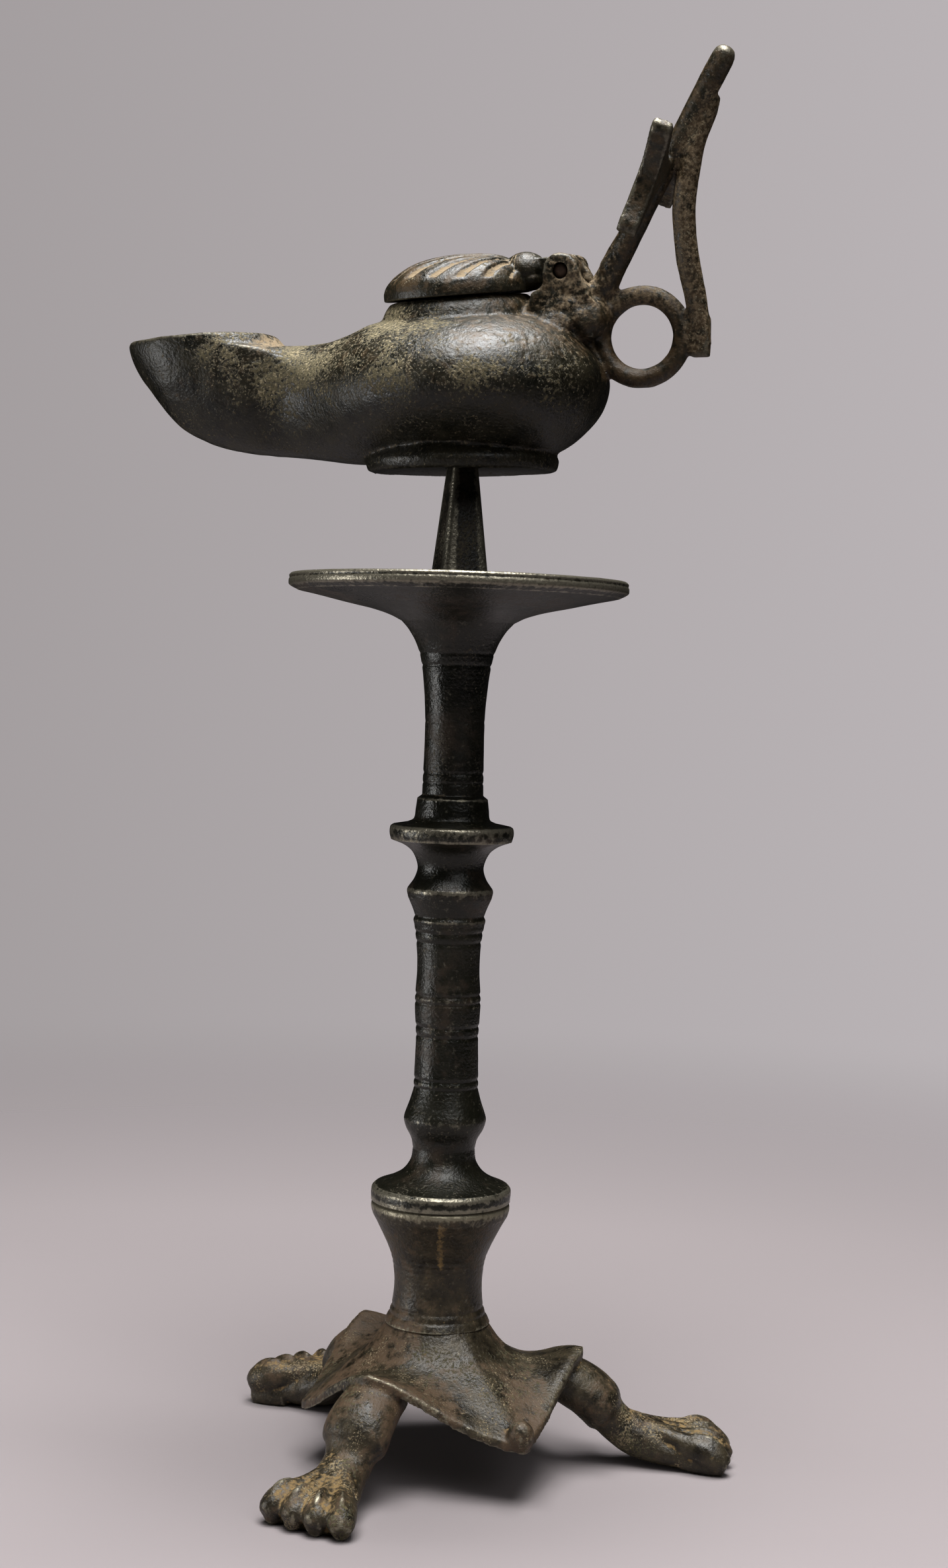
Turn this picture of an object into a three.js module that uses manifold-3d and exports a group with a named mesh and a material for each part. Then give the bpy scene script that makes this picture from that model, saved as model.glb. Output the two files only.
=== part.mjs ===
// Late antique bronze oil lamp resting on a tripod pricket stand, in millimetres, +Z up.
// The lamp has a hinged shell lid, a finger ring and a cross; the stand has lion legs.

import * as THREE from 'three';
import { mergeVertices } from 'three/addons/utils/BufferGeometryUtils.js';
import Module from 'manifold-3d';

const wasm = await Module();
wasm.setup();

// Stand: turned outlines as [radius, height above the floor]
const SEAM_HEIGHT = 80;
const SEAM_GAP = 0.3;
const FLANGE_RADIUS = 21.2;
const PAN_RADIUS = 51.2;
const PAN_RIM_HEIGHT = 269.2;
const PAN_FLOOR_HEIGHT = 266.2;
const COLUMN_TOP = 258.5;

// Pricket: a square spike that tapers evenly, turned a little off the stand's front
const PRICKET_FOOT = 264;
const PRICKET_TIP = 324;
const PRICKET_SIDE_AT_PAN = 14.6;
const PRICKET_TAPER = 0.2;
const PRICKET_TURN = 19.3;

// Tripod: a curved three-cornered skirt over three lion legs
const NECK_RADIUS = 15;
const NECK_FOOT_HEIGHT = 43.6;
const SKIRT_CORNERS = [[0, 45.6], [124, 43], [241, 41.5]];
const SKIRT_LOBES = [[60, 46], [187, 41], [302, 50.5]];
const SKIRT_THICKNESS = 3;
const KNOB_HEIGHT = 19.4;
const SKIRT_COLUMNS = 36;
const TOES = 4;
const TOE_FAN = 22;
const PAW_REACH = 90;
const LEGS = [
  { azimuth: 1, pawReach: 92, swing: 2.5, lift: 0 },
  { azimuth: 125, pawReach: 80, swing: 10, lift: 2.4 },
  { azimuth: 240.5, pawReach: 77.5, swing: 2.5, lift: 0 },
];
const LEG_ROOT = 30;
const ANKLE_REACH = 50;

// Lamp: seat on the pricket, lean of the whole lamp and of its filling collar
const LAMP_FOOT_HEIGHT = 301;
const LAMP_PIVOT = 13;
const LAMP_YAW = -16;
const LAMP_ROLL = 2.7;
const LAMP_PITCH = 1;
const WALL = 3;
const LAMP_FOOT_RADIUS = 29.1;
const LAMP_FOOT_X = -0.4;
const NOZZLE_RIM = 41.55;
const NOZZLE_RIM_X = -87;
const NOZZLE_RIM_SLOPE = 0.05;
const NOZZLE_TIP = -104.6;
const NOZZLE_BACK = -60;
const NECK_HEIGHT = 39;
const DECK = 4;
const MOUTH_FRONT = -103.6;
const MOUTH_BACK = -66.5;
const BODY_SIDES = 20;
const CAVITY_SIDES = 14;
const COLLAR_CENTRE = [-1.4, 0, 51.8];
const COLLAR_ROLL = 6.5;
const COLLAR_PITCH = 2.7;
const COLLAR_RADIUS = 21;
const FILLING_RADIUS = 17.4;
const SOCKET_CLEARANCE = 0.8;
const SOCKET_DEPTH = 26;
const SOCKET_WALL = 2.4;

// Hinge, in the collar's own frame
const PIN_X = 33.5;
const PIN_Z = 5.4;
const PIN_RADIUS = 2.1;
const PIN_CLEARANCE = 0.3;
const EAR_RADIUS = 5.2;
const EAR_INNER = 3.9;
const EAR_OUTER = 9.2;
const TONGUE_HALF = 3.5;

// Shell lid, in the collar's own frame
const LID_RADIUS = 22.4;
const LID_GAP = 0.5;
const LID_EDGE = 2.2;
const LID_WALL = 2.4;
const UMBO_X = 19.5;
const RIBS = 13;
const RIB_SAMPLES = 3;
const RIB_DEPTH = 1.1;
const RIB_SECTOR = 300;

// Handle: finger ring, leaning cross and the strut that props it
const RING_CENTRE = [54.4, 0, 38.9];
const RING_RADIUS = 12.1;
const RING_BAR = 2.9;
const CROSS_FOOT = [40.6, 0, 49.9];
const CROSS_LEAN = 31.2;
const CROSS_TWIST = 8.5;
const CROSS_ARM_SET = 0.9;
const CROSS_ROLL = 17;
const CROSS_LENGTH = 81;
const CROSS_JUNCTION = 43.7;
const CROSS_HALF_SPAN = 29;
const CROSS_TIP = 16.6;
const CROSS_THICKNESS = 5.8;

const BRONZE = { color: 0x2b2a22, roughness: 0.45, metalness: 0.75 };
const IRON = { color: 0x2a211a, roughness: 0.8, metalness: 0.4 };

const radians = THREE.MathUtils.degToRad;

// A smooth curve through [position, value] keys, read at one position
function through(keys, at) {
  const last = keys.length - 1;
  const ascending = keys[last][0] > keys[0][0] ? 1 : -1;
  let low = 0;
  while (low < last - 1 && (at - keys[low + 1][0]) * ascending > 0) low++;
  const slope = (i) => {
    const before = keys[Math.max(i - 1, 0)];
    const after = keys[Math.min(i + 1, last)];
    return (after[1] - before[1]) / (after[0] - before[0]);
  };
  const [start, first] = keys[low];
  const [end, second] = keys[low + 1];
  const span = end - start;
  const t = THREE.MathUtils.clamp((at - start) / span, 0, 1);
  const ease = t * t * (3 - 2 * t);
  const lead = t * (1 - t) * (1 - t) * slope(low) * span;
  const trail = t * t * (t - 1) * slope(low + 1) * span;
  return first + (second - first) * ease + lead + trail;
}

// A closed geometry as a solid with its faces pointing out
function solid(geometry) {
  geometry.deleteAttribute('normal');
  geometry.deleteAttribute('uv');
  const merged = mergeVertices(geometry, 1e-4);
  const points = merged.attributes.position.array;
  const faces = [];
  let volume = 0;
  for (let i = 0; i < merged.index.count; i += 3) {
    const [a, b, c] = merged.index.array.slice(i, i + 3);
    if (a === b || b === c || c === a) continue;
    faces.push([a, b, c]);
    const corner = (n) => new THREE.Vector3().fromArray(points, 3 * n);
    volume += corner(a).dot(corner(b).cross(corner(c)));
  }
  const outward = faces.map(([a, b, c]) => (volume > 0 ? [a, b, c] : [a, c, b]));
  return new wasm.Manifold(
    new wasm.Mesh({
      numProp: 3,
      vertProperties: new Float32Array(points),
      triVerts: new Uint32Array(outward.flat()),
    }),
  );
}

const join = (solids) => solids.reduce((sum, next) => sum.add(next));

function moved(geometry, ...matrices) {
  for (const matrix of matrices) geometry.applyMatrix4(matrix);
  return geometry;
}

// Rings of points, one after another, closed by a fan at each end
function loft(rings) {
  const sides = rings[0].length;
  const points = rings.flat();
  const faces = [];
  for (let row = 0; row + 1 < rings.length; row++) {
    for (let side = 0; side < sides; side++) {
      const a = row * sides + side;
      const b = row * sides + ((side + 1) % sides);
      faces.push(a, b, b + sides, a, b + sides, a + sides);
    }
  }
  for (const [ring, first, forward] of [
    [rings[0], 0, false],
    [rings[rings.length - 1], (rings.length - 1) * sides, true],
  ]) {
    const hub = points.length;
    const centre = ring.reduce((sum, p) => sum.add(p), new THREE.Vector3());
    points.push(centre.divideScalar(sides));
    for (let side = 0; side < sides; side++) {
      const a = first + side;
      const b = first + ((side + 1) % sides);
      faces.push(hub, forward ? a : b, forward ? b : a);
    }
  }
  return new THREE.BufferGeometry().setFromPoints(points).setIndex(faces);
}

// A bar through stations of { at: centre, across, along, width, depth }, with an elliptical section
function bar(stations, sides) {
  const rings = stations.map(({ at, across, along, width, depth }) =>
    Array.from({ length: sides }, (_, side) => {
      const angle = (2 * Math.PI * (side + 0.5)) / sides;
      return at
        .clone()
        .addScaledVector(across, width * Math.cos(angle))
        .addScaledVector(along, depth * Math.sin(angle));
    }),
  );
  return loft(rings);
}

// A round bar along a hand-set path of [x, y, z, radius]
function rod(path, sides) {
  const points = path.map(([x, y, z]) => new THREE.Vector3(x, y, z));
  const stations = points.map((at, i) => {
    const before = points[Math.max(i - 1, 0)];
    const after = points[Math.min(i + 1, points.length - 1)];
    const ahead = after.clone().sub(before).normalize();
    const across = new THREE.Vector3(0, 1, 0).cross(ahead).normalize();
    const along = ahead.clone().cross(across);
    return { at, across, along, width: path[i][3], depth: path[i][3] };
  });
  return bar(stations, sides);
}

// A turned piece from [radius, height] pairs that start and end on the axis
function turned(profile, segments) {
  const points = profile.map(([radius, height]) => new THREE.Vector2(radius, height));
  return new THREE.LatheGeometry(points, segments).rotateX(Math.PI / 2);
}

// A square bar from [side, height] pairs, turned about its own axis
function squareBar(levels, turn) {
  const rings = levels.map(([side, height]) =>
    [45, 135, 225, 315].map((corner) => {
      const angle = radians(corner + turn);
      const reach = side * Math.SQRT1_2;
      return new THREE.Vector3(reach * Math.cos(angle), reach * Math.sin(angle), height);
    }),
  );
  return loft(rings);
}

function pricketSide(height) {
  return PRICKET_SIDE_AT_PAN - (height - PAN_RIM_HEIGHT) * PRICKET_TAPER;
}

// Shaft: pricket, drip pan, column, balusters and the flange that sits on the tripod
function shaft() {
  const pan = turned(
    [
      [0, PAN_FLOOR_HEIGHT],
      [45, PAN_FLOOR_HEIGHT + 0.3],
      [48.4, PAN_RIM_HEIGHT],
      [PAN_RADIUS - 0.6, PAN_RIM_HEIGHT],
      [PAN_RADIUS, PAN_RIM_HEIGHT - 0.8],
      [PAN_RADIUS, PAN_RIM_HEIGHT - 3.4],
      [PAN_RADIUS - 2.6, PAN_RIM_HEIGHT - 4.8],
      [34, 261.2],
      [25.7, 259.6],
      [20, COLUMN_TOP - 0.6],
      [0, COLUMN_TOP - 0.6],
    ],
    30,
  );
  const flare = [[21, COLUMN_TOP], [17, 256.1], [14.7, 253.6], [12.4, 249.6], [10.8, 244.6]];
  const upperColumn = [[9.6, 236], [9, 225], [9.2, 206]];
  const collar = [[9.6, 203.4], [10.8, 202.4], [11.6, 196.2]];
  const middleFlange = [[14.5, 195.2], [18.4, 194.3], [18.7, 192], [18.2, 189.8], [13.8, 188.1]];
  const bicone = [[11.6, 186.4], [9.9, 182], [10.8, 178.6], [13.05, 174.8], [12.5, 172.2], [10.5, 166.6]];
  const lowerShaft = [[10.65, 164.2], [9.7, 157.4], [9.5, 150], [10.1, 141], [9.5, 129], [9.95, 113.4]];
  const bulge = [[12.1, 107], [12.5, 105], [11.8, 102.5], [10.1, 99.4], [9.45, 96.2], [9.9, 92.6]];
  const shoulder = [[12.1, 89.2], [16.5, 86.4], [20.6, 84.7], [FLANGE_RADIUS, 83.6]];
  const seat = SEAM_HEIGHT + SEAM_GAP;
  const column = turned(
    [
      [0, COLUMN_TOP + 2],
      ...flare,
      ...upperColumn,
      ...collar,
      ...middleFlange,
      ...bicone,
      ...lowerShaft,
      ...bulge,
      ...shoulder,
      [FLANGE_RADIUS, seat],
      [0, seat],
    ],
    16,
  );
  const pricket = squareBar(
    [
      [pricketSide(PRICKET_FOOT), PRICKET_FOOT],
      [pricketSide(PRICKET_TIP - 3), PRICKET_TIP - 3],
      [1.2, PRICKET_TIP],
    ],
    PRICKET_TURN,
  );
  return join([solid(pan), solid(column), solid(pricket)]);
}

// The corner and the lobe on either side of an azimuth, and how far it is from corner to lobe
function skirtSpan(azimuth) {
  const full = 360;
  const spans = SKIRT_CORNERS.flatMap((corner, i) => {
    const lobe = SKIRT_LOBES[i];
    const next = SKIRT_CORNERS[(i + 1) % SKIRT_CORNERS.length];
    const nextAzimuth = i + 1 < SKIRT_CORNERS.length ? next[0] : next[0] + full;
    return [
      { from: corner[0], to: lobe[0], corner, lobe },
      { from: nextAzimuth, to: lobe[0], corner: next, lobe },
    ];
  });
  const within = ({ from, to }) => (azimuth - from) * (azimuth - to) <= 0;
  const span = spans.find(within);
  const share = (azimuth - span.from) / (span.to - span.from);
  const width = radians(Math.abs(span.to - span.from));
  return { share, width, corner: span.corner[1], lobe: span.lobe[1] };
}

// Skirt outline: straight edges from each leg's corner to the lobes on both sides of it
function skirtReach(azimuth) {
  const { share, width, corner, lobe } = skirtSpan(azimuth);
  const edge = corner * Math.sin(width * share) + lobe * Math.sin(width * (1 - share));
  return (corner * lobe * Math.sin(width)) / edge;
}

// Height of the skirt's top at a share of the way from the neck to the edge
function skirtHeight(azimuth, outward) {
  const towardsLeg = [[0, 43.6], [0.16, 37.4], [0.32, 34], [0.5, 32.8], [0.72, 34], [0.92, 36.2], [1, 36]];
  const towardsLobe = [[0, 43.6], [0.1, 40], [0.26, 35], [0.5, 29.4], [0.75, 23.6], [1, 18.4]];
  const { share } = skirtSpan(azimuth);
  const legWeight = 0.55 * (1 - share) + 0.225 * (1 + Math.cos(Math.PI * share));
  const lobe = through(towardsLobe, outward);
  return lobe + (through(towardsLeg, outward) - lobe) * legWeight;
}

function skirt() {
  const azimuths = Array.from({ length: SKIRT_COLUMNS }, (_, column) => (column * 360) / SKIRT_COLUMNS);
  const ring = (share, drop) =>
    azimuths.map((azimuth) => {
      const radius = NECK_RADIUS + (skirtReach(azimuth) - NECK_RADIUS) * share;
      const angle = radians(azimuth);
      const height = skirtHeight(azimuth, share) - drop;
      return new THREE.Vector3(radius * Math.cos(angle), radius * Math.sin(angle), height);
    });
  const top = [0, 0.14, 0.32, 0.54, 0.78, 1].map((share) => ring(share, 0));
  const under = [1, 0.5, 0].map((share) => ring(share, SKIRT_THICKNESS));
  return loft([...top, ...under]);
}

// One lion leg along +X: thigh, ankle and foot, then tendons that swell into toes.
// From the ankle on, the foot swings sideways; a lifted paw has thicker toes.
function leg({ azimuth, pawReach, swing, lift }) {
  const sections = [
    { reach: 33, height: 28.6, lean: 40, width: 9.2, depth: 7.6 },
    { reach: 44.2, height: 23.8, lean: 41, width: 9.9, depth: 7.6 },
    { reach: 49.6, height: 19, lean: 41, width: 10.3, depth: 7.2 },
    { reach: 52.6, height: 15, lean: 43, width: 9, depth: 6.2 },
    { reach: 54.8, height: 12.4, lean: 42, width: 7.9, depth: 5.9 },
    { reach: 60, height: 9.4, lean: 28, width: 8.2, depth: 7 },
    { reach: 67, height: 6.8, lean: 12, width: 10, depth: 7.6 },
    { reach: 76, height: 4.2, lean: 8, width: 12.4, depth: 6.4 },
    { reach: 84, height: 2.6, lean: 8, width: 12.4, depth: 5 },
  ];
  const stretch = (pawReach - LEG_ROOT) / (PAW_REACH - LEG_ROOT);
  const stretched = (reach) => LEG_ROOT + (reach - LEG_ROOT) * stretch;
  const sideways = (reach) => Math.max(reach - ANKLE_REACH, 0) * Math.tan(radians(swing));
  const lifted = (reach) => lift * THREE.MathUtils.clamp((reach - 60) / 20, 0, 1);
  const across = new THREE.Vector3(0, 1, 0);
  const stations = sections.map(({ reach, height, lean, width, depth }) => ({
    at: new THREE.Vector3(stretched(reach), sideways(reach), height + lifted(reach) / 2),
    across,
    along: new THREE.Vector3(Math.sin(radians(lean)), 0, Math.cos(radians(lean))),
    width,
    depth: depth + lifted(reach) / 2,
  }));
  const toes = Array.from({ length: TOES }, (_, toe) => {
    const place = (2 * toe) / (TOES - 1) - 1;
    const fan = Math.tan(radians(TOE_FAN * place));
    const shorter = 2.6 * Math.abs(place);
    const spots = [
      [58, 12.8, 2.4],
      [70, 9.2, 3.3],
      [81, 5.9, 4.7],
      [86.6, 4.2, 4.2],
      [PAW_REACH, 2.6, 2.2],
    ];
    const path = spots.map(([reach, height, radius]) => {
      const along = reach - shorter * ((reach - 58) / (PAW_REACH - 58));
      const spread = sideways(along) + (along - 56) * fan;
      return [stretched(along), spread, height + lifted(reach), radius + 0.3 * lifted(reach)];
    });
    return solid(rod(path, 6));
  });
  return join([solid(bar(stations, 10)), ...toes]).rotate([0, 0, azimuth]);
}

// Tripod: turned neck, skirt and legs in one casting, with flat soles on the floor
function tripod() {
  const lip = SEAM_HEIGHT;
  const cup = [[20.6, lip], [21.1, lip - 1.8], [20.7, lip - 3.9], [19, 73.4], [15.8, 67]];
  const foot = [NECK_RADIUS + 0.4, NECK_FOOT_HEIGHT];
  const waist = [[14.3, 62.6], [13.4, 56.6], [13.5, 52], [14.1, 47.4], foot];
  const neck = turned([[0, lip], ...cup, ...waist, [0, 40]], 18);
  const [knobAzimuth, lobeReach] = SKIRT_LOBES[2];
  const knob = new THREE.SphereGeometry(1, 8, 5)
    .scale(3, 2.8, 3.4)
    .translate(lobeReach - 3.4, 0, KNOB_HEIGHT)
    .rotateZ(radians(knobAzimuth));
  const whole = join([solid(neck), solid(skirt()), solid(knob), ...LEGS.map(leg)]);
  const aboveFloor = new THREE.BoxGeometry(300, 300, 100).translate(0, 0, 50);
  return whole.intersect(solid(aboveFloor));
}

// Lamp body outlines along its length, nozzle at -X: keel, crown, half width and widest height
const KEEL = [
  [-107, 38.6], [-106.2, 36.2], [-104.4, 32.2], [-100.6, 26.6], [-90.6, 15], [-82, 10.2], [-75.7, 8.1],
  [-67.3, 6.5], [-58.3, 5.5], [-49.5, 4.8], [-40.5, 3.7], [-32, 2.8], [-10, 2.6], [20, 3.8], [28.4, 5.7],
  [34.8, 9.9], [40.6, 15.7], [43.6, 22.8], [44.4, 26],
];
const CROWN = [
  [-48, NECK_HEIGHT], [-40.6, 39.8], [-33.2, 42], [-26, 44.8], [-14, 46.6], [0, 47], [12, 46.8],
  [22, 45.6], [30, 43], [37, 38.4], [42, 32.4], [44.4, 26],
];
const HALF_WIDTH = [
  [-107, 2], [-106, 6], [-101, 12.6], [-92, 17.8], [-82, 19.6], [-70, 19], [-64, 18.2], [-58, 16],
  [-52, 15.4], [-46, 17.6], [-38, 22.6], [-28, 29.6], [-16, 36.4], [-4, 40.2], [8, 40.6], [20, 37],
  [30, 30], [37, 21.8], [42, 12.4], [44.4, 2],
];
const WIDEST = [[-52, 32], [-46, 26], [-36, 24.5], [-20, 25.4], [0, 26], [44.4, 26]];
const NECK_STEP = [-56.6, -54.6];

// Height of the nozzle's rim, which rises to the back and rounds off at the tip
function rimHeight(x) {
  const pastTip = Math.max(NOZZLE_TIP - x, 0);
  const roundOff = 0.2;
  return NOZZLE_RIM + NOZZLE_RIM_SLOPE * (x - NOZZLE_RIM_X) - roundOff * pastTip * pastTip;
}

function bodyRing(x, sides, inset) {
  const inNozzle = x <= NECK_STEP[0];
  const keel = through(KEEL, x) + inset;
  const crown = inNozzle ? rimHeight(x) : through(CROWN, Math.max(x, CROWN[0][0])) - inset;
  const widest = inNozzle ? crown : Math.min(through(WIDEST, x), crown);
  const halfWidth = Math.max(through(HALF_WIDTH, x) - inset, 0.6);
  return Array.from({ length: sides }, (_, side) => {
    const angle = (2 * Math.PI * (side + 0.5)) / sides;
    const rise = Math.sin(angle);
    const height = rise > 0 ? crown - widest : widest - keel;
    return new THREE.Vector3(x, halfWidth * Math.cos(angle), widest + height * rise);
  });
}

// A level outline over the nozzle, as wide as the body less an inset and round at its back end
function nozzlePlan(front, back, inset) {
  const roundFrom = back - 17;
  const steps = 12;
  const half = Array.from({ length: steps + 1 }, (_, step) => {
    const x = front + (back - front) * (1 - (1 - step / steps) ** 2);
    const round = Math.sqrt(1 - (Math.max(x - roundFrom, 0) / (back - roundFrom)) ** 2);
    return new THREE.Vector2(x, Math.max(through(HALF_WIDTH, x) - inset, 0) * round);
  });
  const mirrored = half.slice(1, -1).map(({ x, y }) => new THREE.Vector2(x, -y));
  return [...half, ...mirrored.reverse()];
}

function upright(outline, from, to) {
  const shape = new THREE.Shape(outline);
  return new THREE.ExtrudeGeometry(shape, { depth: to - from, bevelEnabled: false }).translate(0, 0, from);
}

// The body with its nozzle rim, which rounds off where it drops to the neck
function lampShell() {
  const stations = [
    -107, -106.3, -104.6, -101, -95, -88, -80, -71, -64, ...NECK_STEP, -47, -40, -33, -26, -18, -8, 3, 13,
    22, 30, 36, 40.4, 43, 44.4,
  ];
  const body = solid(loft(stations.map((x) => bodyRing(x, BODY_SIDES, 0))));
  const behind = NOZZLE_BACK - 18;
  const square = [[behind, 30], [NECK_STEP[1], 30], [NECK_STEP[1], -30], [behind, -30]];
  const block = upright(square.map(([x, y]) => new THREE.Vector2(x, y)), NECK_HEIGHT, NOZZLE_RIM + 3);
  const rim = upright(nozzlePlan(behind - 6, NOZZLE_BACK, -0.4), NECK_HEIGHT - 1, NOZZLE_RIM + 4);
  return body.subtract(solid(block).subtract(solid(rim)));
}

// Reservoir and the oval wick mouth that opens upward out of the nozzle
function lampHollow() {
  const ring = (x) => {
    const inNozzle = x <= NECK_STEP[0];
    const ceiling = inNozzle ? rimHeight(x) - DECK : through(CROWN, Math.max(x, CROWN[0][0])) - WALL;
    const points = bodyRing(x, CAVITY_SIDES, WALL);
    points.forEach((p) => (p.z = Math.min(p.z, ceiling)));
    return points;
  };
  const stations = [-102, -98, -92, -84, -74, -62, NECK_STEP[1], -47, -36, -26, -14, 0, 14, 24, 32, 38, 41];
  const mouth = upright(nozzlePlan(MOUTH_FRONT, MOUTH_BACK, WALL), NOZZLE_RIM - 2 * DECK, NOZZLE_RIM + 3);
  return join([solid(loft(stations.map(ring))), solid(mouth)]);
}

// Frame of the filling collar, which sits askew on the body
function collarFrame() {
  const turn = new THREE.Euler(radians(COLLAR_ROLL), radians(-COLLAR_PITCH), 0, 'XYZ');
  return new THREE.Matrix4().makeRotationFromEuler(turn).setPosition(...COLLAR_CENTRE);
}

// A disc-ended plate in the collar's frame, from one sideways place to another
function hingePlate(outline, from, to, holeRadius) {
  const shape = new THREE.Shape(outline.map(([x, z]) => new THREE.Vector2(x, z)));
  const hole = new THREE.Path().absarc(PIN_X, PIN_Z, holeRadius, 0, 2 * Math.PI, true);
  shape.holes.push(hole);
  const thickness = { depth: to - from, bevelEnabled: false, curveSegments: 6 };
  const plate = new THREE.ExtrudeGeometry(shape, thickness);
  return plate.rotateX(Math.PI / 2).translate(0, to, 0);
}

function roundEnd(radius, fromAngle, toAngle, steps) {
  return Array.from({ length: steps + 1 }, (_, step) => {
    const angle = radians(fromAngle + ((toAngle - fromAngle) * step) / steps);
    return [PIN_X + radius * Math.cos(angle), PIN_Z + radius * Math.sin(angle)];
  });
}

function ears() {
  const front = [[27.6, 1.2], [24, -0.6], [22.4, -9]];
  const outline = [[42.4, -15], [42, -4], ...roundEnd(EAR_RADIUS, 20, 175, 7), ...front];
  const holeRadius = PIN_RADIUS + PIN_CLEARANCE;
  return [
    hingePlate(outline, EAR_INNER, EAR_OUTER, holeRadius),
    hingePlate(outline, -EAR_OUTER, -EAR_INNER, holeRadius),
  ];
}

// Handle cross: a tapering upright and two flared arms with swallowtail ends
function cross() {
  const post = [
    { rise: -10, width: 5.2, depth: 6 },
    { rise: -3, width: 4.4, depth: 5 },
    { rise: 8, width: 3.7, depth: 4 },
    { rise: 30, width: 3.1, depth: 3.3 },
    { rise: CROSS_LENGTH - 4, width: 3.1, depth: 3.4 },
    { rise: CROSS_LENGTH - 1, width: 2.5, depth: 2.7 },
    { rise: CROSS_LENGTH, width: 1.3, depth: 1.3 },
  ].map(({ rise, width, depth }) => ({
    at: new THREE.Vector3(0, 0, rise),
    across: new THREE.Vector3(0, 1, 0),
    along: new THREE.Vector3(-1, 0, 0),
    width,
    depth,
  }));
  const arms = new THREE.Shape();
  const neck = 2.9;
  const notch = 5.5;
  const tipWidth = 3.6;
  arms.moveTo(0, neck);
  for (const side of [1, -1]) {
    const end = side * CROSS_HALF_SPAN;
    const rise = side * CROSS_TIP;
    arms.quadraticCurveTo(end * 0.62, side * neck, end - side * 2, rise);
    arms.lineTo(end, rise - side * 1.2);
    arms.lineTo(end, rise - side * tipWidth);
    arms.quadraticCurveTo(end - side * notch * 1.6, 0, end, side * tipWidth - rise);
    arms.lineTo(end, side * 1.2 - rise);
    arms.lineTo(end - side * 2, -rise);
    arms.quadraticCurveTo(end * 0.62, -side * neck, 0, -side * neck);
  }
  const thickness = { depth: CROSS_THICKNESS, bevelEnabled: false, curveSegments: 5 };
  const plate = new THREE.ExtrudeGeometry(arms, thickness)
    .translate(0, 0, -CROSS_THICKNESS / 2)
    .rotateX(Math.PI / 2)
    .rotateZ(Math.PI / 2)
    .rotateY(radians(-CROSS_TWIST))
    .translate(-CROSS_ARM_SET, 0, CROSS_JUNCTION);
  const lean = new THREE.Matrix4().makeRotationY(radians(CROSS_LEAN));
  const roll = new THREE.Matrix4().makeRotationX(radians(CROSS_ROLL));
  const place = new THREE.Matrix4().makeTranslation(...CROSS_FOOT);
  return [bar(post, 8), plate].map((geometry) => solid(moved(geometry, lean, roll, place)));
}

// Strut from a small square heel behind the ring up to the back of the cross
function strut() {
  const heel = new THREE.BoxGeometry(5.4, 5.4, 12).translate(71.8, 0, 38.6);
  const bowed = rod(
    [
      [72.2, 0, 36, 2.8],
      [70.8, -2.4, 49, 3.2],
      [69, -5.2, 59, 3.3],
      [68.3, -8, 68, 3.4],
      [68.4, -9.8, 75, 3.4],
      [69.9, -11.4, 83, 3.2],
      [72.2, -13, 92, 3],
      [75.6, -14.2, 99.5, 2.9],
      [78, -15, 104.4, 2],
    ],
    8,
  );
  return [solid(heel), solid(bowed)];
}

// Lamp body with foot, collar, ears, ring, cross and strut in one casting, hollow inside
function lampBody() {
  const foot = turned(
    [
      [0, 9.5],
      [24, 9.5],
      [27, 6.6],
      [LAMP_FOOT_RADIUS, 3.6],
      [LAMP_FOOT_RADIUS - 1.1, 0],
      [24.6, 0],
      [24, 1.4],
      [0, 1.4],
    ],
    24,
  ).translate(LAMP_FOOT_X, 0, 0);
  const collarSide = [[COLLAR_RADIUS, 0], [COLLAR_RADIUS + 1.5, -2.6], [COLLAR_RADIUS + 2.6, -6.5]];
  const collar = turned([[0, 0], ...collarSide, [COLLAR_RADIUS + 3, -12], [0, -12]], 24);
  const filling = turned([[0, 6], [FILLING_RADIUS, 6], [FILLING_RADIUS, -17], [0, -17]], 20);
  const ring = new THREE.TorusGeometry(RING_RADIUS, RING_BAR, 6, 20);
  ring.rotateX(Math.PI / 2).translate(...RING_CENTRE);
  const socketTurn = PRICKET_TURN - LAMP_YAW;
  const mouth = pricketSide(LAMP_FOOT_HEIGHT) + 2 * SOCKET_CLEARANCE;
  const narrowing = SOCKET_DEPTH * PRICKET_TAPER;
  const thick = 2 * SOCKET_WALL;
  const top = SOCKET_DEPTH + SOCKET_WALL;
  const sleeve = squareBar([[mouth + thick, 1.6], [mouth - narrowing + thick, top]], socketTurn);
  const socket = squareBar([[mouth + 2 * PRICKET_TAPER, -2], [mouth - narrowing, SOCKET_DEPTH]], socketTurn);
  const askew = (geometry) => solid(moved(geometry, collarFrame()));
  const cast = join([lampShell(), solid(foot), askew(collar), ...ears().map(askew)]);
  const hollow = cast.subtract(lampHollow()).subtract(askew(filling));
  return join([hollow, solid(sleeve), solid(ring), ...cross(), ...strut()]).subtract(solid(socket));
}

// Scallop lid: a domed shell whose ribs run from the rolled umbo at the hinge to the edge
function lidHeight(x, y) {
  const front = [[-LID_RADIUS, LID_EDGE], [-20, 5.9], [-16, 8.8], [-9.4, 11.4]];
  const back = [[0, 12.4], [9.3, 12], [15, 10.7], [LID_RADIUS, 5.6]];
  const ridge = [...front, ...back];
  const chord = Math.sqrt(Math.max(LID_RADIUS * LID_RADIUS - x * x, 1e-6));
  const bow = Math.sqrt(Math.max(1 - (y / chord) ** 2, 0));
  return LID_EDGE + (through(ridge, x) - LID_EDGE) * bow;
}

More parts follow.
